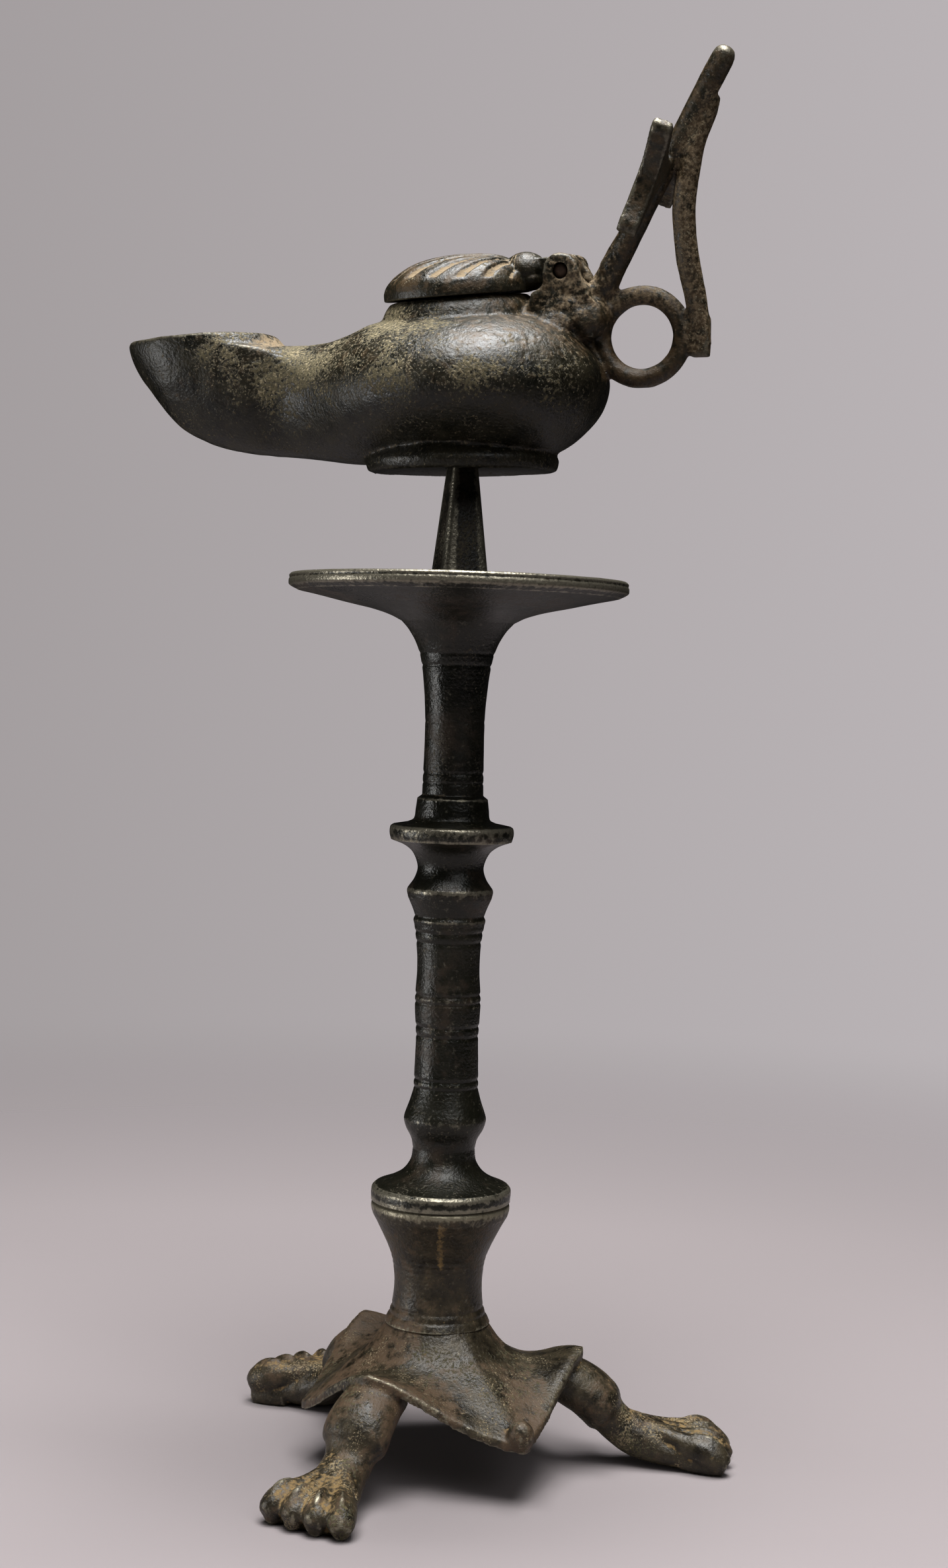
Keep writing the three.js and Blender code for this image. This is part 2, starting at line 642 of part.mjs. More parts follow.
function lidShell() {
  const ribColumns = RIBS * RIB_SAMPLES;
  const plainColumns = 3;
  const columns = [];
  for (let column = 0; column <= ribColumns; column++) {
    const azimuth = -RIB_SECTOR / 2 + (RIB_SECTOR * column) / ribColumns;
    columns.push({ azimuth, valley: column % RIB_SAMPLES === 0 });
  }
  for (let column = 1; column <= plainColumns; column++) {
    const gap = (360 - RIB_SECTOR) / (plainColumns + 1);
    columns.push({ azimuth: RIB_SECTOR / 2 + gap * column, valley: false });
  }
  const ring = (share, height) =>
    columns.map(({ azimuth, valley }) => {
      const angle = radians(180 - azimuth);
      const edgeX = LID_RADIUS * Math.cos(angle);
      const edgeY = LID_RADIUS * Math.sin(angle);
      const x = UMBO_X + (edgeX - UMBO_X) * share;
      const y = edgeY * share;
      const depth = RIB_DEPTH * Math.min(1, 2 * share, 12 * (1 - share));
      return new THREE.Vector3(x, y, height(x, y, valley ? depth : 0));
    });
  const top = (x, y, groove) => LID_GAP + lidHeight(x, y) - groove;
  const under = (x, y) => LID_GAP + Math.max(lidHeight(x, y) - LID_WALL, 0);
  const flat = () => LID_GAP;
  return loft([
    ...[0.14, 0.4, 0.7, 0.91, 1].map((share) => ring(share, top)),
    ring(1, flat),
    ring(0.9, flat),
    ring(0.5, under),
  ]);
}

function lid() {
  const umbo = new THREE.SphereGeometry(1, 9, 6).scale(4.6, 6.6, 5.2).translate(22.9, 0, 6.8);
  const tongueRadius = EAR_RADIUS - 0.8;
  const outline = [...roundEnd(tongueRadius, -110, 90, 7), [23, PIN_Z + tongueRadius], [21, 3.4], [27, 2.2]];
  const tongue = hingePlate(outline, -TONGUE_HALF, TONGUE_HALF, PIN_RADIUS + PIN_CLEARANCE);
  return join([solid(lidShell()), solid(umbo), solid(tongue)]);
}

function pin() {
  const half = EAR_OUTER - 1;
  const rod = turned([[0, half], [PIN_RADIUS, half], [PIN_RADIUS, -half], [0, -half]], 10);
  return solid(rod.rotateX(Math.PI / 2).translate(PIN_X, 0, PIN_Z));
}

function piece(name, body, finish) {
  const { vertProperties, triVerts } = body.getMesh();
  const geometry = new THREE.BufferGeometry();
  geometry.setAttribute('position', new THREE.BufferAttribute(vertProperties, 3));
  geometry.setIndex(new THREE.BufferAttribute(triVerts, 1));
  geometry.computeVertexNormals();
  const mesh = new THREE.Mesh(geometry, new THREE.MeshStandardMaterial(finish));
  mesh.name = name;
  return mesh;
}

const crown = new THREE.Group();
crown.applyMatrix4(collarFrame());
crown.add(piece('shell_lid', lid(), BRONZE), piece('hinge_pin', pin(), IRON));

const lampParts = new THREE.Group();
lampParts.position.z = -LAMP_PIVOT;
lampParts.add(piece('lamp_body', lampBody(), BRONZE), crown);

const lamp = new THREE.Group();
lamp.rotation.set(radians(LAMP_ROLL), radians(-LAMP_PITCH), radians(LAMP_YAW), 'ZXY');
lamp.position.z = LAMP_FOOT_HEIGHT + LAMP_PIVOT;
lamp.add(lampParts);

const object = new THREE.Group();
object.add(piece('tripod_base', tripod(), BRONZE), piece('shaft_with_pan', shaft(), BRONZE), lamp);

// The origin is the middle of the whole object's footprint box, on the floor
const extent = new THREE.Box3().setFromObject(object, true);
const middle = extent.getCenter(new THREE.Vector3());
object.position.set(-middle.x, -middle.y, -extent.min.z);

export default object;
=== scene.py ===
"""Looks of a late antique bronze oil lamp resting on its tripod pricket stand.

Shapes are made in millimetres about the stand's own axis, with the lamp's nozzle at -X,
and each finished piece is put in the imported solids' frame in metres.
"""

import math

import bpy
import numpy as np
from mathutils import Matrix, Vector
from mathutils.geometry import tessellate_polygon
from mathutils.kdtree import KDTree


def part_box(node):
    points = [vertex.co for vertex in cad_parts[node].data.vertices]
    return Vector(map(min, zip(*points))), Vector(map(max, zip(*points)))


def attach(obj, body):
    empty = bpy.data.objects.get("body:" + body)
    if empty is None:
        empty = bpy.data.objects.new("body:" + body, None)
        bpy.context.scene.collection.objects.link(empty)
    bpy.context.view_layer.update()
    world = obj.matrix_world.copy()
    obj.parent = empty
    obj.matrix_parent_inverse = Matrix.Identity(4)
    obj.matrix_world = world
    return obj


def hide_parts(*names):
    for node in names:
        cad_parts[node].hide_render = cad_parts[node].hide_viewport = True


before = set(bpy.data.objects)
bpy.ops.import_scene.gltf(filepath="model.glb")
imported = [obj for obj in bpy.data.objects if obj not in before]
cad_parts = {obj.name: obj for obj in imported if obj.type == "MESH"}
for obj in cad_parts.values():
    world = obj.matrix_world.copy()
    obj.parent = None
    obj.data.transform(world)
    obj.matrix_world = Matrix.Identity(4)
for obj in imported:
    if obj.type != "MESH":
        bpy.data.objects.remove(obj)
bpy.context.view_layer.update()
shaft_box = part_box("shaft_with_pan")

METRES = 0.001
AXIS = np.array([*((shaft_box[0] + shaft_box[1]) / 2).xy, 0]) / METRES

# Turned outlines: a drawing step and (radius, height) keys for each moulding, drawn smooth.
# A moulding starts where the one before it ends, with a corner between them.
SHAFT_OUTLINE = {
    "pan floor": (3, [(0.5, 266.2), (45, 266.5)]),
    "pan lip": (0.6, [(46.6, 267.4), (48.4, 269.2)]),
    "pan rim": (0.6, [(50.6, 269.2)]),
    "pan edge": (0.3, [(51.2, 268.5), (51.3, 267), (51.1, 265.8), (48.6, 264.4)]),
    "pan underside": (0.8, [(41, 262.8), (34, 261.2), (25.7, 259.4), (20.6, 257.8), (17, 256)]),
    "flare": (0.45, [(14.7, 253.4), (12.4, 249.4), (10.8, 244.6), (9.6, 236), (9, 225), (9.2, 206)]),
    "collar": (0.45, [(9.4, 204), (10.7, 202.6)]),
    "collar face": (0.45, [(11.1, 199.4), (11.6, 196.4), (13.6, 195.3)]),
    "flange top": (0.45, [(17.9, 194.5)]),
    "flange edge": (0.45, [(18.6, 194), (18.8, 192), (18.3, 190)]),
    "flange underside": (0.45, [(14.2, 188.4), (11.6, 186.2), (10, 182), (10.8, 178.6), (12.9, 175.4)]),
    "bicone edge": (0.45, [(13.1, 174.6), (12.7, 172.6)]),
    "bicone foot": (0.45, [(11.3, 169.4), (10.4, 167)]),
    "bead": (0.45, [(10.9, 165.8), (10.6, 164.4)]),
    "lower shaft": (0.45, [(9.7, 157.4), (9.5, 150), (10, 141), (9.5, 129), (9.9, 113.8)]),
    "bulge": (0.45, [(11, 110), (12.2, 106.6), (12.5, 105), (11.8, 102.4), (10.1, 99.2), (9.4, 96.2)]),
    "shoulder": (0.45, [(10, 92.4), (12.3, 89), (16.4, 86.4), (20.4, 84.8)]),
    "shoe": (0.45, [(21.2, 83.8), (21.2, 80.3)]),
    "seat": (1.5, [(0.5, 80.3)]),
}
SHAFT_SEGMENTS = 112
# Turned grooves as (height, depth, half width)
SHAFT_GROOVES = [
    (267.9, 0.3, 0.4), (246.5, 0.22, 0.45), (242.9, 0.3, 0.5), (226, 0.1, 0.5), (210.4, 0.28, 0.5),
    (207.4, 0.22, 0.4), (203.7, 0.25, 0.45), (162.2, 0.32, 0.5), (159.2, 0.3, 0.5), (143.2, 0.34, 0.5),
    (140.8, 0.3, 0.45), (133.6, 0.34, 0.5), (130.6, 0.3, 0.5), (117.4, 0.32, 0.5), (114.9, 0.3, 0.5),
]
SHAFT_BOW = 0.6
SHAFT_BOW_HEIGHT = 112
SHAFT_BOW_SPREAD = 45

# Pricket: a square spike that tapers evenly
PRICKET_FOOT = 264
PRICKET_TIP = 324
PAN_RIM_HEIGHT = 269.2
PRICKET_SIDE_AT_PAN = 14.6
PRICKET_TAPER = 0.2
PRICKET_TURN = 19.3
PRICKET_SQUARENESS = 9

# Tripod: turned neck, three-cornered skirt and three lion legs
NECK_OUTLINE = {
    "lip": (3, [(0.5, 80), (20.4, 80)]),
    "cup edge": (0.4, [(21, 79.2), (21.1, 77.8), (20.6, 76)]),
    "cup": (0.45, [(19, 73.2), (15.9, 67), (14.3, 62.6), (13.4, 56.6), (13.5, 52), (14.2, 47.4), (16, 43)]),
    "seat": (2, [(12, 38.5), (0.5, 38)]),
}
NECK_GROOVES = [
    (63.6, 0.12, 0.4), (61.8, 0.14, 0.4), (60.2, 0.12, 0.4), (47.9, 0.3, 0.45), (45.6, 0.32, 0.5),
]
NECK_RADIUS = 15
NECK_SEGMENTS = 104
SKIRT_CORNERS = [(0, 45.6), (124, 43), (241, 41.5)]
SKIRT_LOBES = [(60, 46), (187, 41), (302, 50.5)]
SKIRT_BOWS = [(0, 0), (0.4, 1.6), (0.4, 0)]
SKIRT_THICKNESS = 2.9
SKIRT_COLUMNS = 360
SKIRT_ROUNDING = 5
TOWARDS_LEG = [(0, 43.6), (0.16, 37.4), (0.32, 34), (0.5, 32.8), (0.72, 34), (0.92, 36.2), (1, 36)]
TOWARDS_LOBE = [(0, 43.6), (0.1, 40), (0.26, 35), (0.5, 29.4), (0.75, 23.6), (1, 18.4)]
KNOB_HEIGHT = 21.1
KNOB_INSET = 2.8
KNOB_RADII = (4, 3.8, 4.4)
LEGS = [
    {"azimuth": 1, "paw_reach": 92, "swing": 2.5, "lift": 0},
    {"azimuth": 125, "paw_reach": 80, "swing": 10, "lift": 2.4},
    {"azimuth": 240.5, "paw_reach": 77.5, "swing": 2.5, "lift": 0},
]
LEG_ROOT = 30
ANKLE_REACH = 50
PAW_REACH = 90
TOES = 4
TOE_FAN = 22
# Leg sections as (reach, height, lean, half width, half depth)
LEG_SECTIONS = [
    (33, 28.6, 40, 9.2, 7.6), (40, 25.8, 41, 9.6, 7.7), (46, 22.4, 41, 10.3, 7.7),
    (49.8, 18.9, 41, 10.6, 7.5), (51.4, 16.8, 42, 10.1, 7.1), (52.5, 15.3, 43, 8.4, 6),
    (55, 12.5, 42, 7.6, 5.7), (60, 9.4, 28, 7.8, 6.5), (67, 6.4, 12, 9.2, 5.9), (76, 3.7, 8, 11.2, 4.4),
    (84, 2.4, 8, 11.4, 3.4),
]
# Toe spots as (reach, height, radius): a tendon, a knuckle, a dip and the toe's pad
TOE_SPOTS = [
    (54, 15.4, 1.4), (58, 14, 1.8), (63, 12.6, 2.1), (69, 10.6, 2.4), (74, 8.9, 3), (78, 7.7, 3.9),
    (82, 6.7, 4.4), (85.4, 5.4, 4.2), (88, 4, 3.6), (89.8, 3, 2.2),
]
# Claw spots, a ridge down the front of the toe
CLAW_SPOTS = [(79, 11.4, 0.7), (83, 10.8, 1.2), (86, 9.2, 1.4), (88.6, 6.8, 1.3), (90.2, 4.4, 1)]
# Pad spots under the toes, which stay on the floor
PAD_SPOTS = [(76, 3.4, 3), (82, 3, 3.2), (86.6, 2.6, 2.9), (89, 2.2, 2)]
TENDON_START = 56
OUTER_TOES_SHORTER = 2.6
PAW_LIFT_FROM = 60
PAW_LIFT_SPAN = 20
# How much a lifted paw's toes swell, and how thickly dirt lies on top of the paws
TOE_SWELL = 0.3
PAW_DIRT = 0.62

# Lamp: seat on the pricket, lean of the whole lamp and of its filling collar
LAMP_FOOT_HEIGHT = 301
LAMP_PIVOT = 13
LAMP_YAW = -16
LAMP_ROLL = 2.7
LAMP_PITCH = 1
WALL = 3
LAMP_FOOT_X = -0.4
NOZZLE_RIM = 41.55
NOZZLE_RIM_X = -87
NOZZLE_RIM_SLOPE = 0.05
NOZZLE_TIP = -104.6
NOZZLE_TIP_ROUND = 0.2
NOZZLE_BACK = -60
NOZZLE_BACK_ROUND = 17
NOZZLE_STEP = (-1.8, 3.6)
NECK_HEIGHT = 39
DECK = 4
MOUTH_FRONT = -103.6
MOUTH_BACK = -66.5
KEEL = [
    (-107, 38.6), (-106.2, 36.2), (-104.4, 32.2), (-100.6, 26.6), (-90.6, 15), (-82, 10.2), (-75.7, 8.1),
    (-67.3, 6.5), (-58.3, 5.5), (-49.5, 4.8), (-40.5, 3.7), (-32, 2.8), (-10, 2.6), (20, 3.8), (28.4, 5.7),
    (34.8, 9.9), (40.6, 15.7), (43.6, 22.8), (44.4, 26),
]
CROWN = [
    (-48, NECK_HEIGHT), (-40.6, 39.8), (-33.2, 42), (-26, 44.8), (-14, 46.6), (0, 47), (12, 46.8),
    (22, 45.6), (30, 43), (37, 38.4), (42, 32.4), (44.4, 26),
]
HALF_WIDTH = [
    (-107, 2), (-106, 6), (-101, 12.6), (-92, 17.8), (-82, 19.6), (-70, 19), (-64, 18.2), (-58, 16),
    (-52, 15.4), (-46, 17.6), (-38, 22.6), (-28, 29.6), (-16, 36.4), (-4, 40.2), (8, 40.6), (20, 37),
    (30, 30), (37, 21.8), (42, 12.4), (44.4, 2),
]
WIDEST = [
    (-74, 39), (-64, 38), (-56, 35), (-50, 30), (-43, 26), (-36, 24.5), (-20, 25.4), (0, 26), (44.4, 26),
]
LAMP_FOOT = {
    "top": (4, [(0.5, 9.5), (23.4, 9.5)]),
    "side": (0.6, [
        (25, 8), (27, 6), (28.4, 4.8), (29.1, 3.9), (29.2, 3), (28.7, 1.2), (28.2, 0.2), (27.6, 0),
    ]),
    "underside": (4, [(24.6, 0), (24, 1.4), (0.5, 1.4)]),
}
COLLAR_CENTRE = (-1.4, 0, 51.8)
COLLAR_ROLL = 6.5
COLLAR_PITCH = 2.7
COLLAR = {
    "top": (4, [(0.5, 0), (19.8, 0)]),
    "side": (0.6, [(20.8, -0.3), (21.6, -1.2), (22.6, -2.7), (23.5, -4.8), (23.9, -7), (24, -12)]),
    "underside": (4, [(0.5, -12)]),
}
TURNED_SEGMENTS = 96
FILLING_RADIUS = 17.4
FILLING_DEPTH = 17
SOCKET_CLEARANCE = 0.8
SOCKET_DEPTH = 26
SOCKET_WALL = 2.4
SOCKET_SQUARENESS = 12

# Hinge, in the collar's own frame
PIN_X = 33.5
PIN_Z = 5.4
PIN_RADIUS = 2.1
PIN_CLEARANCE = 0.3
EAR_RADIUS = 5.2
EAR_INNER = 3.9
EAR_OUTER = 9.2
EAR_FOOT = [(42.4, -15), (42, -4)]
EAR_FRONT = [(27.6, 1.2), (24, -0.6), (22.4, -9)]
TONGUE_HALF = 3.5
TONGUE_RADIUS = 4.4
TONGUE_ROOM = 0.45
# Lumps of metal under the ears as (x, y, z, half sizes), and the boss's middle in the lamp's own frame
HINGE_ROOTS = [
    (33.5, -5.6, -6, (9.6, 4.8, 6.2)), (33.5, 5.6, -6, (9.6, 4.8, 6.2)), (39, -2, -9, (8, 9, 7)),
    (31, -7.6, -10, (7, 4.4, 5.4)), (25.5, 0, -4.8, (5, 8, 4.1)),
]
HINGE_BOSS = (35, 0, 54)
BOSS_LUMPS = (12, 17, 14)
BOSS_DIRT = (12, 18, 14)
# How the coats lie on faces that were cut later, such as the reservoir's walls
CUT_FACE_COATS = (0, 0.3, 0.2, 0.1, 0.4)

# Shell lid, in the collar's own frame
LID_RADIUS = 22.4
LID_GAP = 0.5
LID_EDGE = 2.2
LID_WALL = 2.4
LID_RIDGE = [
    (-22.4, 2.2), (-20, 5.9), (-16, 8.8), (-9.4, 11.4), (0, 12.4), (9.3, 12), (15, 10.7), (22.4, 5.6),
]
UMBO_X = 19.5
UMBO_CENTRE = (21, 0, 6.8)
UMBO_RADII = (6.5, 6.6, 5.2)
# The umbo's beak, which curls down to the lid's edge
BEAK_CENTRE = (23, 0, 3.8)
BEAK_RADII = (4.2, 6, 3.2)
RIBS = 13
RIB_DEPTH = 0.9
RIB_SECTOR = 300
LID_COLUMNS = 520

# Handle: finger ring, leaning cross and the strut that props it
RING_CENTRE = (54.4, 0, 38.9)
RING_RADIUS = 12.1
RING_BAR = 2.9
RING_COLUMNS = 96
RING_SIDES = 24
CROSS_FOOT = (40.6, 0, 49.9)
CROSS_LEAN = 31.2
CROSS_TWIST = 8.5
CROSS_ARM_SET = 0.9
CROSS_ROLL = 17
CROSS_JUNCTION = 43.7
CROSS_HALF_SPAN = 29
CROSS_TIP = 16.6
CROSS_THICKNESS = 5.8
# Upright's sections as (rise, half width, half depth)
POST = [
    (-10, 5.2, 6), (-3, 4.4, 5), (8, 3.7, 4), (30, 3.1, 3.3), (60, 3.1, 3.3), (77, 3.1, 3.4),
    (80, 2.5, 2.7), (81, 1.3, 1.3),
]
# Strut's path as (x, y, z, radius)
STRUT = [
    (72.2, 0, 36, 2.8), (70.8, -2.4, 49, 3.2), (69, -5.2, 59, 3.3), (68.3, -8, 68, 3.4),
    (68.4, -9.8, 75, 3.4), (69.9, -11.4, 83, 3.2), (72.2, -13, 92, 3), (75.6, -14.2, 99.5, 2.9),
    (78, -15, 104.4, 2),
]
HEEL = [(69.1, -2.7), (74.5, -2.7), (74.5, 2.7), (69.1, 2.7)]
HEEL_HEIGHTS = (32.6, 44.6)

# Sizes of the mesh that the castings are drawn in
TRIPOD_GRAIN = 0.6
LAMP_GRAIN = 0.7
LID_GRAIN = 0.36
SQUARE_POINTS = 48
# Faces that meet at more than this many degrees show an edge
SHARP_ANGLE = 48


def through(keys, at):
    """A smooth curve through (position, value) keys, read at many positions."""
    spots, values = np.array(keys, float).T
    last = len(spots) - 1
    before = np.maximum(np.arange(last + 1) - 1, 0)
    after = np.minimum(np.arange(last + 1) + 1, last)
    slopes = (values[after] - values[before]) / (spots[after] - spots[before])
    low = np.clip(np.searchsorted(spots, at) - 1, 0, last - 1)
    span = spots[low + 1] - spots[low]
    t = np.clip((at - spots[low]) / span, 0, 1)
    ease = t * t * (3 - 2 * t)
    lead = t * (1 - t) ** 2 * slopes[low] * span
    trail = t * t * (t - 1) * slopes[low + 1] * span
    return values[low] + (values[low + 1] - values[low]) * ease + lead + trail


def ramp(values, start, end):
    """0 before start, 1 after end, eased between."""
    t = np.clip((values - start) / (end - start), 0, 1)
    return t * t * (3 - 2 * t)


def noise(points, size, seed):
    """Smooth lumps of a given size, between -1 and 1, the same on every run."""
    grid = points / size + 17.31 * seed
    cell = np.floor(grid).astype(np.int64)
    part = grid - cell
    ease = part * part * (3 - 2 * part)
    total = np.zeros(len(points))
    for corner in np.ndindex(2, 2, 2):
        spot = (cell + corner) * np.array([73856093, 19349663, 83492791])
        mixed = spot[:, 0] ^ spot[:, 1] ^ spot[:, 2]
        mixed = (mixed ^ (mixed >> 13)) * 1274126177
        value = ((mixed ^ (mixed >> 16)) & 0xFFFF) / 0x7FFF - 1
        total += value * np.prod(np.where(corner, ease, 1 - ease), axis=1)
    return total


def turn(axis, degrees):
    return np.array(Matrix.Rotation(math.radians(degrees), 4, axis))


def shift(x, y, z):
    return np.array(Matrix.Translation((x, y, z)))


def placed(form, matrix):
    points, faces = form
    return points @ matrix[:3, :3].T + matrix[:3, 3], faces


def closed(points, faces):
    """A closed form with its faces pointing out."""
    a, b, c = points[faces].transpose(1, 0, 2)
    inside_out = np.sum(a * np.cross(b, c)) < 0
    return points, faces[:, ::-1] if inside_out else faces


def together(*forms):
    """Several forms as one list of points and faces."""
    starts = np.cumsum([0] + [len(points) for points, _ in forms])
    points = np.vstack([points for points, _ in forms])
    faces = np.vstack([faces + start for (_, faces), start in zip(forms, starts)])
    return points, faces


def between_rings(rows, sides, spans):
    """Faces from one ring of points to the next, over a number of spans."""
    row, side = np.meshgrid(np.arange(spans), np.arange(sides), indexing="ij")
    after = (row + 1) % rows
    onward = (side + 1) % sides
    corners = [(row, side), (row, onward), (after, onward), (after, side)]
    a, b, c, d = [(ring * sides + place).ravel() for ring, place in corners]
    return np.vstack([np.stack([a, b, c], 1), np.stack([a, c, d], 1)])


def loft(rings):
    """Rings of points, one after another, closed by a fan at each end."""
    rings = np.asarray(rings, float)
    rows, sides = rings.shape[:2]
    points = np.vstack([rings.reshape(-1, 3), rings[0].mean(0), rings[-1].mean(0)])
    around = np.arange(sides)
    onward = (around + 1) % sides
    last = (rows - 1) * sides
    start_cap = np.stack([np.full(sides, rows * sides), onward, around], 1)
    end_cap = np.stack([np.full(sides, rows * sides + 1), last + around, last + onward], 1)
    return closed(points, np.vstack([between_rings(rows, sides, rows - 1), start_cap, end_cap]))


def lathe(outline, segments):
    """A turned form from an outline of (radius, height) rows that starts and ends near the axis."""
    angles = 2 * np.pi * np.arange(segments) / segments
    radius, height = outline[:, :1], outline[:, 1:]
    rings = np.stack([radius * np.cos(angles), radius * np.sin(angles), height + 0 * angles], 2)
    return loft(rings)


def drawn(*sections):
    """A fine outline through sections of keys, with a corner where one section meets the next."""
    fine = []
    for keys, step in sections:
        keys = np.array(keys, float)
        lengths = np.concatenate([[0], np.cumsum(np.linalg.norm(np.diff(keys, axis=0), axis=1))])
        spots = np.linspace(0, lengths[-1], max(round(lengths[-1] / step), 2) + 1)
        columns = [through(np.column_stack([lengths, column]), spots) for column in keys.T]
        fine.append(np.stack(columns, 1)[1 if fine else 0:])
    return np.vstack(fine)


def mouldings(outline):
    """A fine outline from mouldings that start where the one before them ends."""
    sections = []
    start = []
    for step, keys in outline.values():
        sections.append((start + keys, step))
        start = keys[-1:]
    return drawn(*sections)


def grooved(outline, grooves):
    """An outline with turned grooves cut in towards the axis."""
    radius, height = outline.T
    depth = sum(deep * np.exp(-((height - at) / wide) ** 2) for at, deep, wide in grooves)
    return np.column_stack([radius - depth * ramp(radius, 4, 8), height])


def bar(centres, across, along, widths, depths, sides):
    """A bar with an elliptical section at each station."""
    angles = 2 * np.pi * (np.arange(sides) + 0.5) / sides
    sideways = across[:, None] * (widths[:, None] * np.cos(angles))[..., None]
    upward = along[:, None] * (depths[:, None] * np.sin(angles))[..., None]
    return loft(centres[:, None] + sideways + upward)


def rod(path, sides, step):
    """A round bar along a smooth path of (x, y, z, radius)."""
    fine = drawn((path, step))
    centres, radii = fine[:, :3], fine[:, 3]
    ahead = np.gradient(centres, axis=0)
    ahead /= np.linalg.norm(ahead, axis=1)[:, None]
    across = np.cross((0, 1, 0), ahead)
    across /= np.linalg.norm(across, axis=1)[:, None]
    return bar(centres, across, np.cross(ahead, across), radii, radii, sides)


def ball(centre, radii, sides):
    """A rounded lump with its own half size along each axis."""
    angles = np.linspace(0.06, np.pi - 0.06, sides)
    outline = np.column_stack([np.sin(angles), np.cos(angles)])
    points, faces = lathe(outline, 2 * sides)
    return points * radii + centre, faces


def slab(outline, low, high):
    """A flat outline in X and Y, pulled straight up from one height to another."""
    outline = np.asarray(outline, float)
    count = len(outline)
    floor = np.column_stack([outline, np.full(count, low)])
    roof = np.column_stack([outline, np.full(count, high)])
    cap = np.array(tessellate_polygon([[Vector(point) for point in floor]]))
    around = np.arange(count)
    onward = (around + 1) % count
    flat = outline[cap]
    spans = flat[:, 1:] - flat[:, :1]
    wound = spans[:, 0, 0] * spans[:, 1, 1] - spans[:, 0, 1] * spans[:, 1, 0]
    cap = np.where(wound[:, None] > 0, cap, cap[:, ::-1])
    x, y = outline.T
    loop_area = np.sum(x * np.roll(y, -1) - y * np.roll(x, -1))
    walls = np.vstack([
        np.stack([around, onward, onward + count], 1),
        np.stack([around, onward + count, around + count], 1),
    ])
    walls = walls if loop_area > 0 else walls[:, ::-1]
    return np.vstack([floor, roof]), np.vstack([walls, cap[:, ::-1], cap + count])


def square_bar(levels, turned, squareness):
    """A square bar from (side, height) levels, with corners that are sharper the higher its squareness."""
    angles = 2 * np.pi * np.arange(SQUARE_POINTS) / SQUARE_POINTS
    powers = np.abs(np.cos(angles)) ** squareness + np.abs(np.sin(angles)) ** squareness
    lobe = powers ** (-1 / squareness)
    turned_angles = angles + math.radians(turned)
    unit = np.column_stack([np.cos(turned_angles), np.sin(turned_angles)]) * lobe[:, None] / 2
    return loft([np.column_stack([unit * side, np.full(SQUARE_POINTS, height)]) for side, height in levels])


def linked(name, data):
    obj = bpy.data.objects.new(name, data)
    bpy.context.scene.collection.objects.link(obj)
    return obj


def made(name, form):
    points, faces = form
    mesh = bpy.data.meshes.new(name)
    mesh.from_pydata(points.tolist(), [], faces.tolist())
    return linked(name, mesh)


def settle(obj):
    """Keeps the mesh as the piece's modifiers leave it."""
    graph = bpy.context.evaluated_depsgraph_get()
    old = obj.data
    mesh = bpy.data.meshes.new_from_object(obj.evaluated_get(graph))
    obj.modifiers.clear()
    obj.data = mesh
    bpy.data.meshes.remove(old)


def fuse(name, grain, *forms):
    """Overlapping forms melted into one casting, drawn in a mesh of an even grain."""
    obj = made(name, together(*forms))
    remesh = obj.modifiers.new("casting", "REMESH")
    remesh.mode = "VOXEL"
    remesh.voxel_size = grain
    settle(obj)
    return obj


def combine(obj, how, form):
    """Joins a form to a piece, or cuts it out."""
    tool = made("tool", form)
    boolean = obj.modifiers.new("cut", "BOOLEAN")
    boolean.operation = how
    boolean.solver = "MANIFOLD"
    boolean.object = tool
    settle(obj)
    bpy.data.objects.remove(tool)


def read(rows, name, width, kind=float):
    """One property of every row of a mesh, as an array of a given width."""
    flat = np.empty(width * len(rows), kind)
    rows.foreach_get(name, flat)
    return flat.reshape(-1, width)


def points_of(obj):
    return read(obj.data.vertices, "co", 3)


def put_points(obj, points):
    obj.data.vertices.foreach_set("co", points.ravel())
    obj.data.update()


def normals_of(obj):
    return read(obj.data.vertex_normals, "vector", 3)


def edges_of(obj):
    return read(obj.data.edges, "vertices", 2, np.int32)


def blurred(values, edges, passes):
    """Values averaged with their neighbours', again and again."""
    count = len(values)
    one, other = edges.T
    neighbours = np.bincount(edges.ravel(), minlength=count)
    for _ in range(passes):
        total = [
            np.bincount(one, column[other], count) + np.bincount(other, column[one], count)
            for column in values.T
        ]
        values = (values + np.stack(total, 1) / neighbours[:, None]) / 2
    return values


def soften(obj, passes):
    put_points(obj, blurred(points_of(obj), edges_of(obj), passes))


def swell(obj, heights):
    """Moves the surface out along its normals by a height in millimetres."""
    put_points(obj, points_of(obj) + normals_of(obj) * heights[:, None])


def proud(obj, passes):
    """How far each point stands out from the surface around it, in millimetres."""
    points = points_of(obj)
    return np.sum((points - blurred(points, edges_of(obj), passes)) * normals_of(obj), axis=1)


def mark(obj, **coats):
    """Writes how thickly each coat lies at each point of the surface."""
    for name in COATS:
        layer = obj.data.attributes.new(name, "FLOAT", "POINT")
        values = coats.get(name, np.zeros(len(obj.data.vertices)))
        layer.data.foreach_set("value", np.clip(values, 0, 1).astype(np.float32))


def carry_coats(obj, source_points, coats, reach):
    """Marks each point with the nearest source point's coats, or a cut face's where none is in reach."""
    tree = KDTree(len(source_points))
    for number, point in enumerate(source_points):
        tree.insert(point, number)
    tree.balance()
    found = [tree.find(point) for point in points_of(obj)]
    near = np.array([distance < reach for _, _, distance in found])
    numbers = np.array([number for _, number, _ in found])
    layers = np.where(near[:, None], coats[numbers], CUT_FACE_COATS)
    mark(obj, **dict(zip(COATS, layers.T)))


